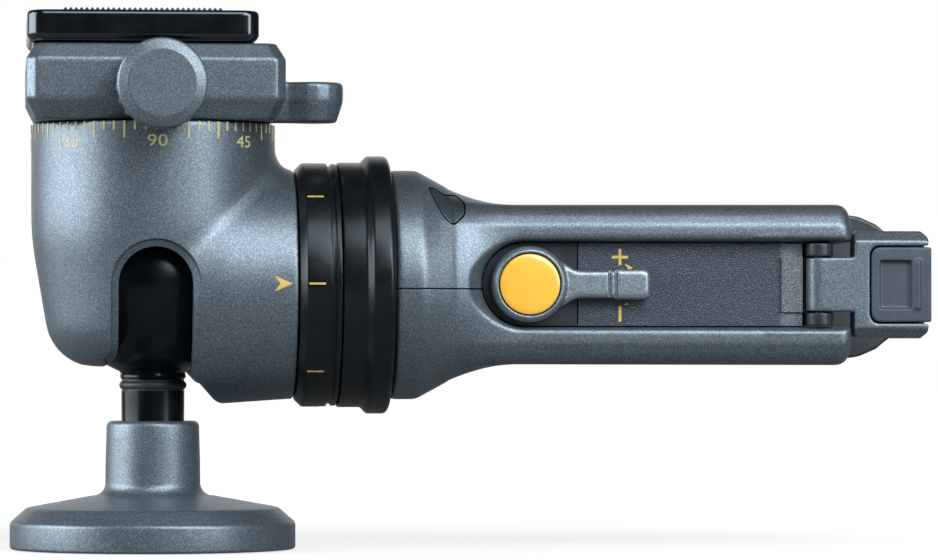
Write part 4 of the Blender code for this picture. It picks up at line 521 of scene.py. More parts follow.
def stem_piece():
    stem_r, groove_r = 6.8, 5.6
    points = [(0.0, BALL_Z + BALL_R)] + arc(0.0, BALL_Z, BALL_R, 87, -66, 51)
    points += [(7.3, 38.35), (6.95, 37.9), (7.1, 37.5), (7.1, 37.0), (stem_r, 36.7), (stem_r, 36.5)]
    points += [(groove_r, 36.5), (groove_r, 34.1), (stem_r, 34.1), (stem_r, 32.0), (6.75, 27.0)]
    points += [(stem_r, 26.4), (BOLT_R, 26.4), (BOLT_R, 36.7), (0.0, 36.7)]
    ball = revolve("polished_ball", points, closed=False)
    finish_piece(ball, BALL, "swivel", "ball_black", "ball_and_stem")


def stem_ring_piece():
    """The rubber ring that bulges out of the stem's groove."""
    bulge = [(6.35 + 0.9 * math.cos(math.radians(a)), 35.3 + 0.95 * math.sin(math.radians(a)))
             for a in range(66, -67, -12)]
    ring = [(5.9, 36.47), (6.72, 36.45)] + bulge + [(6.72, 34.15), (5.9, 34.13)]
    finish_piece(revolve("stem_bulge", ring), RUBBER, "swivel", "black_rubber", "stem_ring")


# Housing

TAPER, TAPER_TOP = 10.3, 66.2
CHIN_Z, CHIN_R = 50.2, 11.0
NOTCH_HALF, LIP_INNER, LIP_OUTER = 7.9, 7.6, 9.55


def housing_profile(top):
    """The upright body's profile: a straight wall, a taper and the round chin below it."""
    taper = math.radians(TAPER)
    line_r = HOUSING_R - (TAPER_TOP - CHIN_Z) * math.tan(taper)
    round_r = line_r - CHIN_R / math.cos(taper)
    points = [(0, top), (HOUSING_R, top), (HOUSING_R, 72.0), (HOUSING_R - 0.08, 69.0),
              (HOUSING_R - 0.3, TAPER_TOP), (HOUSING_R - 0.75, 63.0)]
    points += arc(round_r, CHIN_Z, CHIN_R, -TAPER, -90, 16)
    points.append((0, CHIN_Z - CHIN_R))
    return points


def notch_path(half):
    """The notch's edge, half its width from the middle: right leg, top, left leg and its outward curl."""
    path = [(half, z) for z in (37.0, 40.0, 43.0, 46.0, 50.0, 54.0)] + arc(0, BALL_Z, half, 0, 180, 24)
    path += [(-half, z) for z in (54.0, 50.0, 46.5)]
    curl = NOTCH_HALF + 4.5
    return path + arc(-curl, 43.6, curl - half, 0, -80, 8)


def notch_lips(housing):
    """A cutter for the notch's recessed lip, measured from the cast surface and deeper at the inner edge."""
    inner_depth, outer_depth, wall, clear, front_only = 1.55, 0.85, 0.2, 4.0, 8.0
    bpy.context.view_layer.update()
    skin = BVHTree.FromObject(housing, bpy.context.evaluated_depsgraph_get())
    sections = []
    for edge in zip(notch_path(LIP_INNER), notch_path(LIP_OUTER)):
        fronts = []
        for x, z in edge:
            hit = skin.ray_cast(Vector((x, -60.0, z)) * MM, Vector((0, 1, 0)))[0]
            fronts.append(hit.y / MM if hit and hit.y < -front_only * MM else None)
        if None in fronts:
            continue
        (xi, zi), (xo, zo) = edge
        xs, zs = xo + wall * (xi - xo), zo + wall * (zi - zo)
        sections.append([(xi, fronts[0] + inner_depth, zi), (xs, fronts[1] + outer_depth, zs),
                         (xo, fronts[1], zo), (xo, fronts[1] - clear, zo), (xi, fronts[0] - clear, zi)])
    return loft("lips", sections)


def stem_room():
    """The room the tilting stem needs, as one convex cutter."""
    clear = 7.72
    bm = bmesh.new()
    for tilt in (-18.0, 0.0):
        for lean in (-20.0, 14.0):
            a, b = math.radians(tilt), math.radians(lean)
            down = Vector((math.cos(a) * math.sin(b), -math.sin(a), -math.cos(a) * math.cos(b)))
            side = down.orthogonal().normalized()
            other = down.cross(side)
            for reach in (8.0, 40.0):
                for i in range(36):
                    turn = math.radians(10 * i)
                    offset = side * math.cos(turn) * clear + other * math.sin(turn) * clear
                    bm.verts.new((Vector(CENTRE) + down * reach + offset) * MM)
    bmesh.ops.convex_hull(bm, input=bm.verts)
    return linked_object("stem_room", bm)


def saddle():
    """The fillet that fills the corner between the upright body and the boss."""
    sections = []
    reach, boss_r, sunk, steps = 22.0, 24.7, 2.5, 32
    for i in range(steps + 1):
        y = reach * (2 * i / steps - 1)
        fade = math.sqrt(max(1 - (y / reach) ** 2, 0.01))
        x = math.sqrt(HOUSING_R ** 2 - y ** 2)
        z = BALL_Z + math.sqrt(boss_r ** 2 - y ** 2)
        across, up = 3.9 * fade, 4.7 * fade
        outline = [(x - sunk, z - sunk), (x - sunk, z + up)]
        outline += [(x + across + across * math.cos(t), z + up + up * math.sin(t))
                    for t in [math.radians(180 + 9 * k) for k in range(11)]]
        outline.append((x + across, z - sunk))
        sections.append([(a, y, b) for a, b in outline])
    return loft("saddle", sections)


def housing_piece():
    far, boss_end, pan_r, seat_r, clear_r = 60.0, 30.2, 4.3, BALL_R + 2.0, BALL_R + 0.4
    housing = revolve("cast_housing", housing_profile(HOUSING_TOP + 6.0), closed=False)
    boss = [(0, 38.0), (24.3, 38.0), (24.75, 29.0), (25.75, BOSS_FROM), (25.75, 2.0), (0, 2.0)]
    boss = revolve("boss", boss, at=CENTRE, axis="X", closed=False)
    softened(merged(housing, [boss, saddle()]), 0.6, 34)
    slant = [(5.9, 17.0), (12.7, 24.55), (13.4, 25.15), (14.4, 25.65), (16.0, 26.2),
             (16.0, 137.0), (5.9, 137.0)]
    room = [(0, BALL_Z + seat_r)] + arc(0, BALL_Z, seat_r, 84, 24, 10) + arc(0, BALL_Z, clear_r, 18, -90, 18)
    bore = [(0, 14), (BORE_R, 14), (BORE_R, 40), (0, 40)]
    combine(housing, [
        prism("slant", [(x, BALL_Z - down) for x, down in slant], -far, far, "XZ"),
        block("above", (-far, -far, HOUSING_TOP), (far, far, HOUSING_TOP + 20)),
        block("beyond", (boss_end, -far, 0), (far, far, HOUSING_TOP - 5)),
        revolve("cavity", room, closed=False, steps=96),
        stem_room(),
        revolve("bore", bore, at=CENTRE, axis="X", closed=False, steps=64),
        revolve("pan_hole", [(0, 82.7), (pan_r, 82.7), (pan_r, 99), (0, 99)], closed=False, steps=48),
    ])
    softened(housing, 0.42, 3)
    notch = notch_path(NOTCH_HALF) + [(-12.0, 25.0), (NOTCH_HALF, 25.0)]
    combine(housing, [prism("notch", notch, -40.0, 0.0, "XZ"), notch_lips(housing)])
    finish_piece(housing, BODY, "head", "body_cast", "head_housing", angle=32)


# Rings on the grip's root

def index_ring_piece():
    """The ring at the grip's root, with a groove near its edge."""
    step_r, groove_r = 26.2, 25.75
    points = rounded([(BORE_R, 39.4), (step_r, 39.4), (step_r, 38.3), (groove_r, 38.3), (groove_r, 37.3),
                      (RING_R, 37.3), (RING_R, 32.0), (24.9, 30.5), (BORE_R, 30.5)],
                     [0, 0.25, 0.2, 0.1, 0.1, 0.25, 0.4, 0.35, 0], 4)
    ring = revolve("black_index_ring", points, CENTRE, "X", 160)
    finish_piece(ring, BLACK, "grip", "satin_black", "index_ring")


def lock_collar_piece():
    """The collar: a plain sleeve that flares to a rounded rim on the grip's side."""
    left, right = 39.7, 50.7
    points = [(25.1, right)] + [(r, x) for x, r in arc(right - 1.3, 26.6, 1.3, 0, 90, 8)]
    flare = [(27.9, 6.8), (27.86, 6.5), (27.7, 6.25), (27.4, 5.9), (27.0, 5.55), (26.7, 5.25), (26.55, 5.0),
             (26.5, 4.6), (26.5, 0.45), (26.4, 0.12), (26.1, 0.0), (25.1, 0.0)]
    points += [(r, left + x) for r, x in flare]
    collar = revolve("black_lock_collar", points, CENTRE, "X", 160)
    finish_piece(collar, BLACK, "collar", "satin_black", "lock_collar", angle=45)


# Grip

GRIP_X, CONE_X, CREASE_X, FLARE_X, GRIP_END = 51.0, 57.1, 63.4, 78.0, 150.3
GRIP_FRONT, GRIP_BACK, HALF_HEIGHT, CORNER_R, END_ROUND = -17.3, 11.0, 17.2, 6.0, 3.0
CHANNEL_HALF = 9.2
SHELL_SCREWS_X = (88.2, 133.9)


def grip_half_height(x):
    """Half the grip's height: a round root, a cone, a curved flare and a handle that hardly widens."""
    if x <= CONE_X:
        return 24.8 - 0.1 * max(0.0, (x - CONE_X + 1.2)) ** 2
    if x <= CREASE_X:
        return 24.66 - 3.46 * (x - CONE_X) / (CREASE_X - CONE_X)
    if x < FLARE_X:
        t = (x - CREASE_X) / (FLARE_X - CREASE_X)
        return HALF_HEIGHT + 3.8 * (1 - t) ** 1.7
    return HALF_HEIGHT + 0.2 * (x - FLARE_X) / (GRIP_END - FLARE_X)


def grip_outline():
    """The grip's section in y and z, starting at the front and going round over the top."""
    rise, edge, bulge, front, back = HALF_HEIGHT - CORNER_R, 13.9, 0.3, -11.0, GRIP_BACK - CORNER_R
    lean = math.degrees(math.asin((edge - rise) / CORNER_R))
    half = [(GRIP_FRONT + bulge * (i / 12) ** 2, edge * i / 12) for i in range(1, 12)]
    half += arc(front, rise, CORNER_R, 180 - lean, 90, 9)
    half += [(front + (back - front) * i / 12, HALF_HEIGHT) for i in range(1, 12)]
    half += arc(back, rise, CORNER_R, 90, 0, 12)
    half += [(GRIP_BACK, rise * i / 8) for i in range(7, 0, -1)]
    return [(GRIP_FRONT, 0.0)] + half + [(GRIP_BACK, 0.0)] + [(y, -z) for y, z in reversed(half)]


def grip_sections():
    """The grip's sections along x, blended from round at the cone to square at the flare's end."""
    outline = grip_outline()
    stations = [(GRIP_X, 0.5), (GRIP_X + 0.35, 0.12), (GRIP_X + 0.9, 0.0)]
    x = GRIP_X + 1.5
    while x < FLARE_X:
        stations.append((x, 0.0))
        x += 0.6
    stations += [(x, 0.0) for x in (FLARE_X, 95.0, 112.0, 130.0, 140.0)]
    stations += [(GRIP_END - END_ROUND * (1 - math.sin(t)), END_ROUND * (1 - math.cos(t)))
                 for t in [math.radians(9 * k) for k in range(11)]]
    sections = []
    for x, shrink in stations:
        height = grip_half_height(x)
        t = min(max((x - CONE_X) / (FLARE_X - CONE_X), 0.0), 1.0)
        blend = t * t * (3 - 2 * t)
        factor = 1 - shrink / HALF_HEIGHT
        section = []
        for y, z in outline:
            angle = math.atan2(z, y)
            full = height / HALF_HEIGHT
            py = ((1 - blend) * height * math.cos(angle) + blend * y * full) * factor
            pz = ((1 - blend) * height * math.sin(angle) + blend * z * full) * factor
            section.append((x, py, BALL_Z + pz))
        sections.append(section)
    return sections


def leaf(grow):
    """The pivot cover's outline: a pointed left tip, a top edge along the flare and a round right lobe."""
    points = [(58.9, 77.8), (60.4, 77.5), (62.6, 76.0), (64.8, 76.2), (66.4, 74.4), (66.2, 72.0),
              (63.6, 69.6), (61.6, 71.6), (60.0, 74.9)]
    middle = Vector((63.2, 74.2))
    grown = []
    for point in rounded(points, [0.4, 3.0, 2.0, 1.6, 1.8, 2.0, 1.0, 6.0, 6.0], 6):
        away = Vector(point) - middle
        grown.append(tuple(middle + away * (1 + grow / away.length)))
    return grown


def grip_cutters():
    """The front channel with its eased rim, the open end, and the rooms for what the grip holds."""
    left, far, back = 70.0, 220.0, 60.0
    end, room, slot, nut_r, shaft_r = 9.15, 13.2, 8.7, 17.3, 2.3
    wide = []
    for y, grow in ((-11.0, 0.0), (-15.6, 0.05), (-16.6, 0.35), (-17.1, 0.8), (-19.5, 3.2)):
        half = CHANNEL_HALF + grow
        ring = arc(left + CHANNEL_HALF, BALL_Z, half, 90, 270, 32)
        wide.append([(a, y, b) for a, b in ring + [(far, BALL_Z - half), (far, BALL_Z + half)]])
    return [
        loft("channel", wide),
        block("end_opening", (139.95, -12.0, BALL_Z - end), (far, back, BALL_Z + end)),
        revolve("nut_room", [(0, 46), (nut_r, 46), (nut_r, 58.5), (0, 58.5)], CENTRE, "X", 64, False),
        block("bay", (57.0, -8.0, BALL_Z - room), (84.0, 8.0, BALL_Z + room)),
        block("hollow", (92.5, -8.0, BALL_Z - room), (129.4, 8.0, BALL_Z + room)),
        block("lever_slot", (66.0, 2.0, BALL_Z - slot), (93.5, back, BALL_Z + slot)),
        prism("shaft", arc(DIAL_X, BALL_Z, shaft_r, 0, 342, 19), -back, -7.0, "XZ"),
    ]


def half_of(obj, name, height, keep_above):
    """The part of a closed mesh above or below a height, with the cut closed."""
    bm = bmesh.new()
    bm.from_mesh(obj.data)
    geometry = bm.verts[:] + bm.edges[:] + bm.faces[:]
    found = bmesh.ops.bisect_plane(bm, geom=geometry, plane_co=(0, 0, height * MM), plane_no=(0, 0, 1),
                                   clear_inner=keep_above, clear_outer=not keep_above)
    edges = [g for g in found["geom_cut"] if isinstance(g, bmesh.types.BMEdge)]
    bmesh.ops.triangle_fill(bm, use_beauty=True, use_dissolve=False, edges=edges)
    bmesh.ops.recalc_face_normals(bm, faces=bm.faces)
    return linked_object(name, bm)


def shell_pieces():
    """The grip's two shells, parted at the seam, with the leaf's room and the screws' recesses."""
    seam, half_gap, leaf_gap = BALL_Z - 1.0, 0.15, 0.3
    whole = loft("grip_whole", grip_sections())
    combine(whole, grip_cutters())
    softened(whole, 0.48, 3)
    upper = half_of(whole, "cast_upper_shell", seam + half_gap, True)
    lower = half_of(whole, "cast_lower_shell", seam - half_gap, False)
    bpy.data.objects.remove(whole, do_unlink=True)
    combine(upper, [prism("leaf_room", leaf(leaf_gap), -60.0, -2.5, "XZ")])
    finish_piece(upper, BODY, "grip", "grip_paint", "upper_shell", angle=50)
    combine(lower, [prism("recess", arc(x, -3.5, 2.7, 0, 345, 23), 30.0, 43.9) for x in SHELL_SCREWS_X])
    finish_piece(lower, BODY, "grip", "grip_paint", "lower_shell", angle=50)


def leaf_piece():
    """The leaf-shaped cover, a little below the grip's surface."""
    sunk = 0.35
    cover = loft("leaf_cover", grip_sections())
    cover.location.y = sunk * MM
    combine(cover, [prism("leaf_blank", leaf(0.0), -60.0, -3.5, "XZ")], "INTERSECT")
    finish_piece(softened(cover, 0.16, 3), SHADED_BODY_PAINT, "grip", "grip_paint", "pivot_cover")


def spring_piece():
    """The brake's spring, short enough to leave the shoe's travel free at full squeeze."""
    spring = copy_of("clamp_spring", "coil_spring")
    travel = 0.6 * MM
    ends = [vert.co.x for vert in spring.data.vertices]
    seat, length = max(ends), max(ends) - min(ends)
    for vert in spring.data.vertices:
        vert.co.x = seat - (seat - vert.co.x) * (1 - travel / length)
    finish_piece(spring, STEEL, "head", "steel", "clamp_spring", angle=60)


# Clamp, knob and plate

def clamp_pieces():
    """The clamp and its jaw with soft cast edges."""
    soft_copy("clamp_body", "cast_clamp", 0.33, 9, BODY, "clamp", "body_cast")
    soft_copy("front_jaw", "cast_jaw", 0.33, 9, BODY, "jaw", "body_cast")


def vial_piece():
    """The vial with its top below the tab's."""
    vial = copy_of("level_vial", "sunk_vial")
    cap, sunk = 1.0 * MM, 0.45 * MM
    top = max(vert.co.z for vert in vial.data.vertices)
    for vert in vial.data.vertices:
        if vert.co.z > top - cap:
            vert.co.z -= sunk
    finish_piece(vial, LEVEL, "clamp", "level_green", "level_vial")


def knob_piece():
    """The knob: a turned face and screw, a knurled rim and a collar behind it."""
    centre, knurls, screw_r, collar_r = (KNOB_X, 0, KNOB_Z), 20, 3.0, 5.5
    front = [(0, 40.0), (7.05, 40.0), (7.25, 39.97), (7.45, 39.85), (9.1, 39.15), (9.4, 38.95), (9.5, 38.6),
             (9.5, 36.8), (screw_r, 36.8), (screw_r, 16.0), (0, 16.0)]
    knob = revolve("knurled_knob", front, centre, "-Y", 128, False)
    outline = []
    for i in range(knurls):
        for share, r in ((0.02, 9.55), (0.2, 9.6), (0.4, 9.55), (0.52, 9.1), (0.7, 9.02), (0.9, 9.1)):
            turn = 2 * math.pi * (i + share) / knurls
            outline.append((KNOB_X + r * math.cos(turn), KNOB_Z + r * math.sin(turn)))
    grip = prism("knurl", outline, -37.2, -26.7, "XZ")
    collar = [(0, 27.0), (collar_r, 27.0), (collar_r, 25.3), (0, 25.3)]
    collar = revolve("knob_collar", collar, centre, "-Y", 48, False)
    combine(knob, [grip, collar], "UNION")
    finish_piece(softened(knob, 0.2, 2), BODY, "knob", "body_cast", "clamp_knob", angle=60)


def plate_piece():
    """The plate with round corners and rolled edges, by what it shares with a rounded block."""
    plate = copy_of("quick_release_plate", "anodised_plate")
    half_x, half_y, low, top, corner = 24.6, 24.0, 108.4, 115.0, 3.6
    flat_x, flat_y = half_x - corner, half_y - corner
    outline = []
    for sx, sy, start in ((1, -1, -90), (1, 1, 0), (-1, 1, 90), (-1, -1, 180)):
        outline += arc(PLATE_X + sx * flat_x, sy * flat_y, corner, start, start + 90, 10)
    levels = [(100.0, 1.3), (low, 1.3), (low + 0.25, 0.7), (low + 0.7, 0.3), (low + 1.3, 0.0),
              (top - 1.0, 0.0), (top - 0.5, 0.12), (top - 0.15, 0.4), (top, 0.8)]
    sections = []
    for z, inset in levels:
        fit_x, fit_y = 1 - inset / half_x, 1 - inset / half_y
        sections.append([(PLATE_X + (x - PLATE_X) * fit_x, y * fit_y, z) for x, y in outline])
    combine(plate, [loft("plate_room", sections)], "INTERSECT")
    finish_piece(softened(plate, 0.24, 2), PLATE, "plate", "plate_black", "quick_release_plate", angle=60)


def pad_piece():
    """The rubber pad with its rows of small pyramids, flat round the camera screw."""
    verts, faces = [], []
    half_x, half_y, pitch, low, valley, high = 17.0, 20.2, 1.13, 114.5, 115.05, 115.78
    flat_r, screw_r = 6.2, 5.1
    columns, rows = int(2 * half_x / pitch), int(2 * half_y / pitch)
    step_x, step_y = 2 * half_x / columns, 2 * half_y / rows
    across = rows * 2 + 1
    for i in range(columns * 2 + 1):
        for j in range(across):
            x, y = PLATE_X - half_x + i * step_x / 2, -half_y + j * step_y / 2
            peak = i % 2 == 1 and j % 2 == 1 and math.hypot(x - PLATE_X, y) > flat_r
            verts.append((x, y, high if peak else valley))
    for i in range(columns * 2):
        for j in range(rows * 2):
            a = i * across + j
            faces.append([a, a + across, a + across + 1, a + 1])
    rim = [i * across for i in range(columns * 2 + 1)]
    rim += [columns * 2 * across + j for j in range(1, across)]
    rim += [i * across + across - 1 for i in range(columns * 2 - 1, -1, -1)]
    rim += [j for j in range(across - 2, 0, -1)]
    start = len(verts)
    for k in rim:
        verts.append((verts[k][0], verts[k][1], low))
    for n in range(len(rim)):
        m = (n + 1) % len(rim)
        faces.append([rim[n], rim[m], start + m, start + n])
    faces.append([start + n for n in range(len(rim))])
    pad = raw_object("ridged_pad", verts, faces)
    combine(pad, [prism("screw_room", arc(PLATE_X, 0.0, screw_r, 0, 350, 35), 110.0, 120.0)])
    finish_piece(pad, RUBBER, "plate", "black_rubber", "plate_pad", angle=20)


# Dial, release arm and trigger

def dial_piece():
    """The dial with its lever, its thumb grooves and the disc's room."""
    face, rim_r, room_r, shaft_r, centre = 18.6, 8.2, 6.8, 2.0, (DIAL_X, 0, BALL_Z)
    points = [(0, face - 1.2), (room_r, face - 1.2), (room_r, face - 0.15), (6.95, face), (7.3, face - 0.12),
              (7.75, face - 0.55), (8.1, face - 1.2), (rim_r, face - 2.0), (rim_r, PANEL_FRONT),
              (shaft_r, PANEL_FRONT), (shaft_r, 8.7), (0, 8.7)]
    dial = revolve("friction_lever", points, centre, "-Y", 128, False)
    pad_x, tip, tip_half, neck_half, middle, reach, clear = 98.6, 106.2, 3.3, 3.0, 93.0, 13.0, 0.3
    upper = [(DIAL_X + 4.4, 5.8), (DIAL_X + 7.3, 4.7), (90.0, 3.1), (92.0, neck_half), (pad_x, neck_half),
             (pad_x + 0.3, tip_half), (tip, tip_half)]
    outline = [(x, BALL_Z + z) for x, z in upper] + [(x, BALL_Z - z) for x, z in reversed(upper)]
    outline = rounded(outline, [0, 2.0, 3.0, 1.0, 0.2, 0.2, 1.6, 1.6, 0.2, 0.2, 1.0, 3.0, 2.0, 0], 6)
    sections = []
    for y, inset in ((-PANEL_FRONT - clear, 0.0), (-16.2, 0.0), (-16.75, 0.15), (-17.1, 0.5), (-17.3, 1.1)):
        fit_x, fit_z = 1 - inset / reach, 1 - inset / tip_half
        sections.append([(middle + (a - middle) * fit_x, y, BALL_Z + (b - BALL_Z) * fit_z)
                         for a, b in outline])
    arm = loft("lever_arm", sections)
    room = [(0, 17.4), (room_r, 17.4), (room_r, 30), (0, 30)]
    grooves = [block("groove", (x, -30, BALL_Z - 8), (x + 0.62, -16.6, BALL_Z + 8)) for x in (97.1, 98.5)]
    combine(dial, [arm], "UNION")
    combine(dial, [revolve("disc_room", room, centre, "-Y", 96, False)] + grooves)
    finish_piece(softened(dial, 0.2, 2), LIT_DIAL_PAINT, "dial", "grip_paint", "friction_dial", angle=60)


def disc_piece():
    disc = [(0, 18.62), (2.0, 18.6), (4.0, 18.52), (5.4, 18.4), (6.1, 18.26), (6.42, 18.1), (6.5, 17.85),
            (6.5, 17.7), (0, 17.7)]
    disc = revolve("glossy_disc", disc, (DIAL_X, 0, BALL_Z), "-Y", 128, False)
    finish_piece(disc, YELLOW, "dial", "signal_yellow", "dial_disc")


def arm_piece():
    """The release arm with its frame's inner corners rounded and its outer edges eased."""
    arm = copy_of("release_arm", "cast_arm")
    front, back, left, inner, outer = -17.2, -11.0, 153.9, 8.4, 11.6
    radius, overlap, size = 2.1, 0.5, 2.2
    fillers, wedges = [], []
    for side in (-1, 1):
        bend = arc(left + radius, BALL_Z + side * (inner - radius), radius, 180, 180 - side * 90, 8)
        beyond = BALL_Z + side * (inner + overlap)
        corner = [(bend[-1][0], beyond), (left - overlap, beyond), (left - overlap, bend[0][1])]
        fillers.append(prism("corner", bend + corner, front, back, "XZ"))
        wedge = [(front + size * a, BALL_Z + side * (outer + size * b))
                 for a, b in ((-0.7, -1.7), (1.7, 0.7), (-0.7, 0.7))]
        wedges.append(prism("eased", wedge, 140.0, 170.0, "YZ"))
    combine(arm, fillers, "UNION")
    combine(arm, wedges)
    finish_piece(softened(arm, 0.2, 30), BODY, "arm", "grip_paint", "release_arm", angle=60)


def end_pieces():
    soft_copy("release_pad", "soft_pad", 0.2, 20, PAD_RUBBER, "release", "pad_rubber")
    soft_copy("hinge_block", "moulded_hinge", 0.2, 3, SMOOTH_BLACK, "grip", "black_plastic")
    soft_copy("trigger_lever", "moulded_trigger", 0.35, 4, SMOOTH_BLACK, "trigger", "black_plastic")


def sleeve_piece():
    """The trigger's rubber sleeve with fine ribs across it."""
    sleeve = softened(copy_of("trigger_rubber", "trigger_sleeve"), 0.3, 3)
    pitch, depth = 1.5 * MM, 0.35 * MM
    outward = [vert.normal.copy() for vert in sleeve.data.vertices]
    for vert, away in zip(sleeve.data.vertices, outward):
        wave = math.sin(2 * math.pi * vert.co.x / pitch)
        vert.co -= away * depth * max(0.0, min(1.0, 0.5 + wave))
    finish_piece(sleeve, RUBBER, "trigger", "black_rubber", "trigger_rubber", angle=60)


# Printed marks

# How far a print stands out, and how far it reaches in
PRINT = 0.05


def prints(name, outlines, to_surface, mat, body):
    """Raised print: flat outlines (u, v) that to_surface(u, v, lift) lays on a body, replacing nothing."""
    verts, faces = [], []
    for outline in outlines:
        count = len(outline)
        start = len(verts)
        for lift in (-PRINT, PRINT):
            verts += [to_surface(u, v, lift) for u, v in outline]
        faces.append(list(range(start, start + count))[::-1])
        faces.append(list(range(start + count, start + 2 * count)))
        for i in range(count):
            j = (i + 1) % count
            faces.append([start + i, start + j, start + count + j, start + count + i])
    mesh = bpy.data.meshes.new(name)
    mesh.from_pydata([[c * MM for c in v] for v in verts], [], faces)
    mesh.validate()
    mesh.materials.append(mat)
    obj = linked(name, mesh)
    bm = bmesh.new()
    bm.from_mesh(mesh)
    bmesh.ops.recalc_face_normals(bm, faces=bm.faces)
    bm.to_mesh(mesh)
    bm.free()
    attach(obj, body)


def strip(u0, v0, u1, v1):
    return [(u0, v0), (u1, v0), (u1, v1), (u0, v1)]


def digit_outlines(text, height, widen, centre_u, centre_v):
    """The faces of a number in the built-in font, scaled to a height and centred."""
    curve = bpy.data.curves.new("digits", "FONT")
    curve.body = text
    curve.resolution_u = 3
    obj = linked("digits", curve)
    bpy.context.view_layer.update()
    mesh = bpy.data.meshes.new_from_object(obj.evaluated_get(bpy.context.evaluated_depsgraph_get()))
    xs = [v.co.x for v in mesh.vertices]
    ys = [v.co.y for v in mesh.vertices]
    scale = height / (max(ys) - min(ys))
    middle_x, middle_y = (max(xs) + min(xs)) / 2, (max(ys) + min(ys)) / 2
    outlines = []
    for poly in mesh.polygons:
        points = [mesh.vertices[i].co for i in poly.vertices]
        outlines.append([(centre_u + (p.x - middle_x) * scale * widen, centre_v + (p.y - middle_y) * scale)
                         for p in points])
    bpy.data.objects.remove(obj, do_unlink=True)
    bpy.data.meshes.remove(mesh)
    return outlines


def on_housing(u, v, lift):
    """u is the angle's arc in mm to the right of the front, v is the height."""
    turn = u / HOUSING_R
    r = HOUSING_R + lift
    return (r * math.sin(turn), -r * math.cos(turn), v)


def pan_scale():
    """A stroke every 5 degrees, a long one every 15, and a number below the stroke every 45."""
    outlines = []
    per_degree = math.radians(1) * HOUSING_R
    half_width, short, long, digit_height, digit_widen = 0.225, 2.0, 3.7, 2.5, 1.28
    for degree in range(0, 360, 5):
        u = (90 - degree) * per_degree
        length = long if degree % 15 == 0 and degree % 45 else short
        outlines.append(strip(u - half_width, HOUSING_TOP - length, u + half_width, HOUSING_TOP - 0.1))
    for degree in range(0, 360, 45):
        u = (90 - degree) * per_degree
        outlines += digit_outlines(str(degree), digit_height, digit_widen, u + 0.2, HOUSING_TOP - 4.2)
    prints("pan_scale", outlines, on_housing, WORN_GOLD, "head")


def on_ring(u, v, lift):
    """u is along the grip, v is the arc above the grip's middle as seen from the front."""
    turn = v / RING_R
    r = RING_R + lift
    return (u, -r * math.cos(turn), BALL_Z + r * math.sin(turn))


def on_boss(u, v, lift):
    """u is along the boss, which tapers, and v is the arc above its middle as seen from the front."""
    radius = BOSS_R - BOSS_TAPER * (u - BOSS_FROM) + lift
    turn = v / radius
    return (u, -radius * math.cos(turn), BALL_Z + radius * math.sin(turn))


def on_panel(u, v, lift):
    return (u, -PANEL_FRONT - lift, v)


def ring_marks():
    outlines = []
    for degree in range(0, 360, 45):
        v = math.radians(degree) * RING_R
        outlines.append(strip(32.3, v - 0.21, 35.8, v + 0.21))
    prints("grip_index_marks", outlines, on_ring, GOLD, "grip")
    below, tip, above, notch = (25.1, -1.65), (28.9, 0.0), (25.1, 1.65), (26.2, 0.0)
    prints("housing_index_arrow", [[below, tip, notch], [notch, tip, above]], on_boss, GOLD, "head")


def friction_marks():
    x, up, down = 100.0, 62.9, 50.65
    outlines = [
        strip(x - 1.75, up - 0.3, x + 1.75, up + 0.3),
        strip(x - 0.3, up + 0.3, x + 0.3, up + 1.75),
        strip(x - 0.3, up - 1.75, x + 0.3, up - 0.3),
        strip(x - 0.3, down - 1.65, x + 0.3, down + 1.65),
        [(x + 1.0, up - 1.4), (x + 1.95, up - 2.75), (x + 2.85, up - 2.3)],
        [(x + 0.9, down + 1.85), (x + 1.45, down + 2.05), (x + 1.45, down + 2.5)],
        [(x + 1.45, down + 2.05), (x + 2.0, down + 1.85), (x + 1.45, down + 2.5)],
    ]
    prints("friction_marks", outlines, on_panel, GOLD, "grip")


# Camera, light and floor: places and sizes are in metres

def make_camera():
    azimuth, elevation, distance = math.radians(-5.2), math.radians(-0.7), 1.117
    target = Vector((68.6, 0.0, 58.1)) * MM
    back = Vector((math.sin(azimuth) * math.cos(elevation), -math.cos(azimuth) * math.cos(elevation),
                   math.sin(elevation)))
    data = bpy.data.cameras.new("camera")
    data.sensor_width = 36.0
    data.lens = 197.2
    data.clip_start = 0.01
    data.clip_end = 20.0
    camera = linked("camera", data)
    camera.location = target + back * distance
    camera.rotation_mode = "QUATERNION"
    camera.rotation_quaternion = (-back).to_track_quat("-Z", "Y")
    bpy.context.scene.camera = camera


LIT_POINT = Vector((0.04, 0.0, 0.06))
DAYLIGHT = (0.92, 0.97, 1.0)


def area_light(name, location, size, watts):
    """A rectangular lamp that faces the object."""
    data = bpy.data.lights.new(name, "AREA")
    data.shape = "RECTANGLE"
    data.size, data.size_y = size
    data.energy = watts
    data.color = DAYLIGHT
    light = linked(name, data)
    light.location = location
    light.rotation_mode = "QUATERNION"
    light.rotation_quaternion = (LIT_POINT - Vector(location)).to_track_quat("-Z", "Y")


def make_lights():
    area_light("key_left", (-1.15, -0.20, 0.42), (0.95, 0.8), 21.0)
    area_light("front_top", (0.20, -0.80, 0.95), (0.8, 0.5), 7.5)
    area_light("front_right", (0.50, -0.95, 0.62), (0.5, 0.4), 8.0)
    area_light("right_front", (0.90, -0.80, 0.38), (0.25, 0.6), 6.5)
    area_light("back_left", (-0.90, 0.35, 0.20), (0.4, 0.4), 2.5)


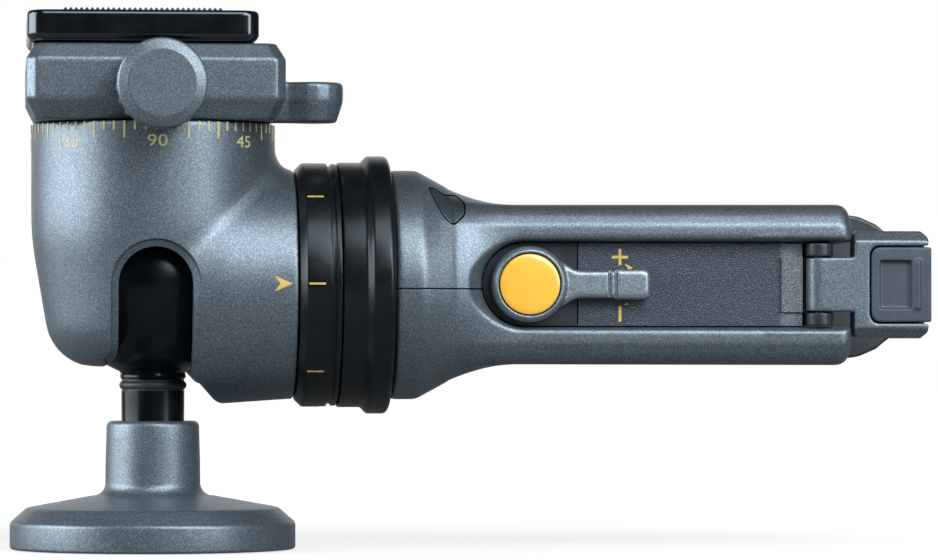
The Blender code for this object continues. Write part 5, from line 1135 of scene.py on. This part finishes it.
def make_world():
    """White to camera and transmission rays, and to glossy rays where the backdrop is. Else a dim room."""
    world = bpy.data.worlds.new("studio")
    bpy.context.scene.world = world
    tree = empty_tree(world)
    out = add(tree, "ShaderNodeOutputWorld")
    path = add(tree, "ShaderNodeLightPath")
    split = add(tree, "ShaderNodeSeparateXYZ")
    tree.links.new(add(tree, "ShaderNodeTexCoord").outputs["Generated"], split.inputs[0])
    behind = map_range(tree, split.outputs["Y"], BACKDROP_FROM, BACKDROP_FULL, 0.0, 1.0)
    mirrored = math_node(tree, "MULTIPLY", path.outputs["Is Glossy Ray"], behind)
    seen = math_node(tree, "MAXIMUM", path.outputs["Is Camera Ray"], path.outputs["Is Transmission Ray"])
    white = math_node(tree, "MAXIMUM", seen, mirrored)
    room = add(tree, "ShaderNodeBackground", in_Color=(0.93, 0.97, 1.0, 1.0), in_Strength=ROOM_LIGHT)
    backdrop = add(tree, "ShaderNodeBackground", in_Color=(1.0, 1.0, 1.0, 1.0), in_Strength=1.0)
    mix = add(tree, "ShaderNodeMixShader")
    tree.links.new(white, mix.inputs[0])
    tree.links.new(room.outputs[0], mix.inputs[1])
    tree.links.new(backdrop.outputs[0], mix.inputs[2])
    tree.links.new(mix.outputs[0], out.inputs[0])


def make_floor():
    """A pale floor that keeps the object's shadow and fades into the white backdrop further out."""
    mesh = bpy.data.meshes.new("floor")
    far, near, white_from = 4.0, 0.08, 0.45
    corners = [(-far, -far), (far, -far), (far, far), (-far, far)]
    mesh.from_pydata([(x, y, FLOOR_Z) for x, y in corners], [], [(0, 1, 2, 3)])
    floor = linked("floor", mesh)
    mat = bpy.data.materials.new("pale_floor")
    tree = empty_tree(mat)
    out = add(tree, "ShaderNodeOutputMaterial")
    diffuse = add(tree, "ShaderNodeBsdfDiffuse", in_Color=(FLOOR_TONE, FLOOR_TONE, FLOOR_TONE, 1.0))
    glow = add(tree, "ShaderNodeEmission", in_Color=(1.0, 1.0, 1.0, 1.0))
    away = add(tree, "ShaderNodeVectorMath", operation="LENGTH")
    tree.links.new(coords(tree), away.inputs[0])
    path = add(tree, "ShaderNodeLightPath")
    level = map_range(tree, away.outputs["Value"], near, white_from, FLOOR_GLOW, 1.0)
    tree.links.new(math_node(tree, "MULTIPLY", path.outputs["Is Camera Ray"], level), glow.inputs["Strength"])
    both = add(tree, "ShaderNodeAddShader")
    tree.links.new(diffuse.outputs[0], both.inputs[0])
    tree.links.new(glow.outputs[0], both.inputs[1])
    tree.links.new(both.outputs[0], out.inputs[0])
    mesh.materials.append(mat)


dress_nodes()
base_piece()
stem_piece()
stem_ring_piece()
housing_piece()
index_ring_piece()
lock_collar_piece()
shell_pieces()
leaf_piece()
clamp_pieces()
vial_piece()
knob_piece()
plate_piece()
pad_piece()
dial_piece()
disc_piece()
arm_piece()
end_pieces()
sleeve_piece()
spring_piece()
pan_scale()
ring_marks()
friction_marks()
make_camera()
make_lights()
make_world()
make_floor()
bpy.context.scene.view_settings.view_transform = "Standard"
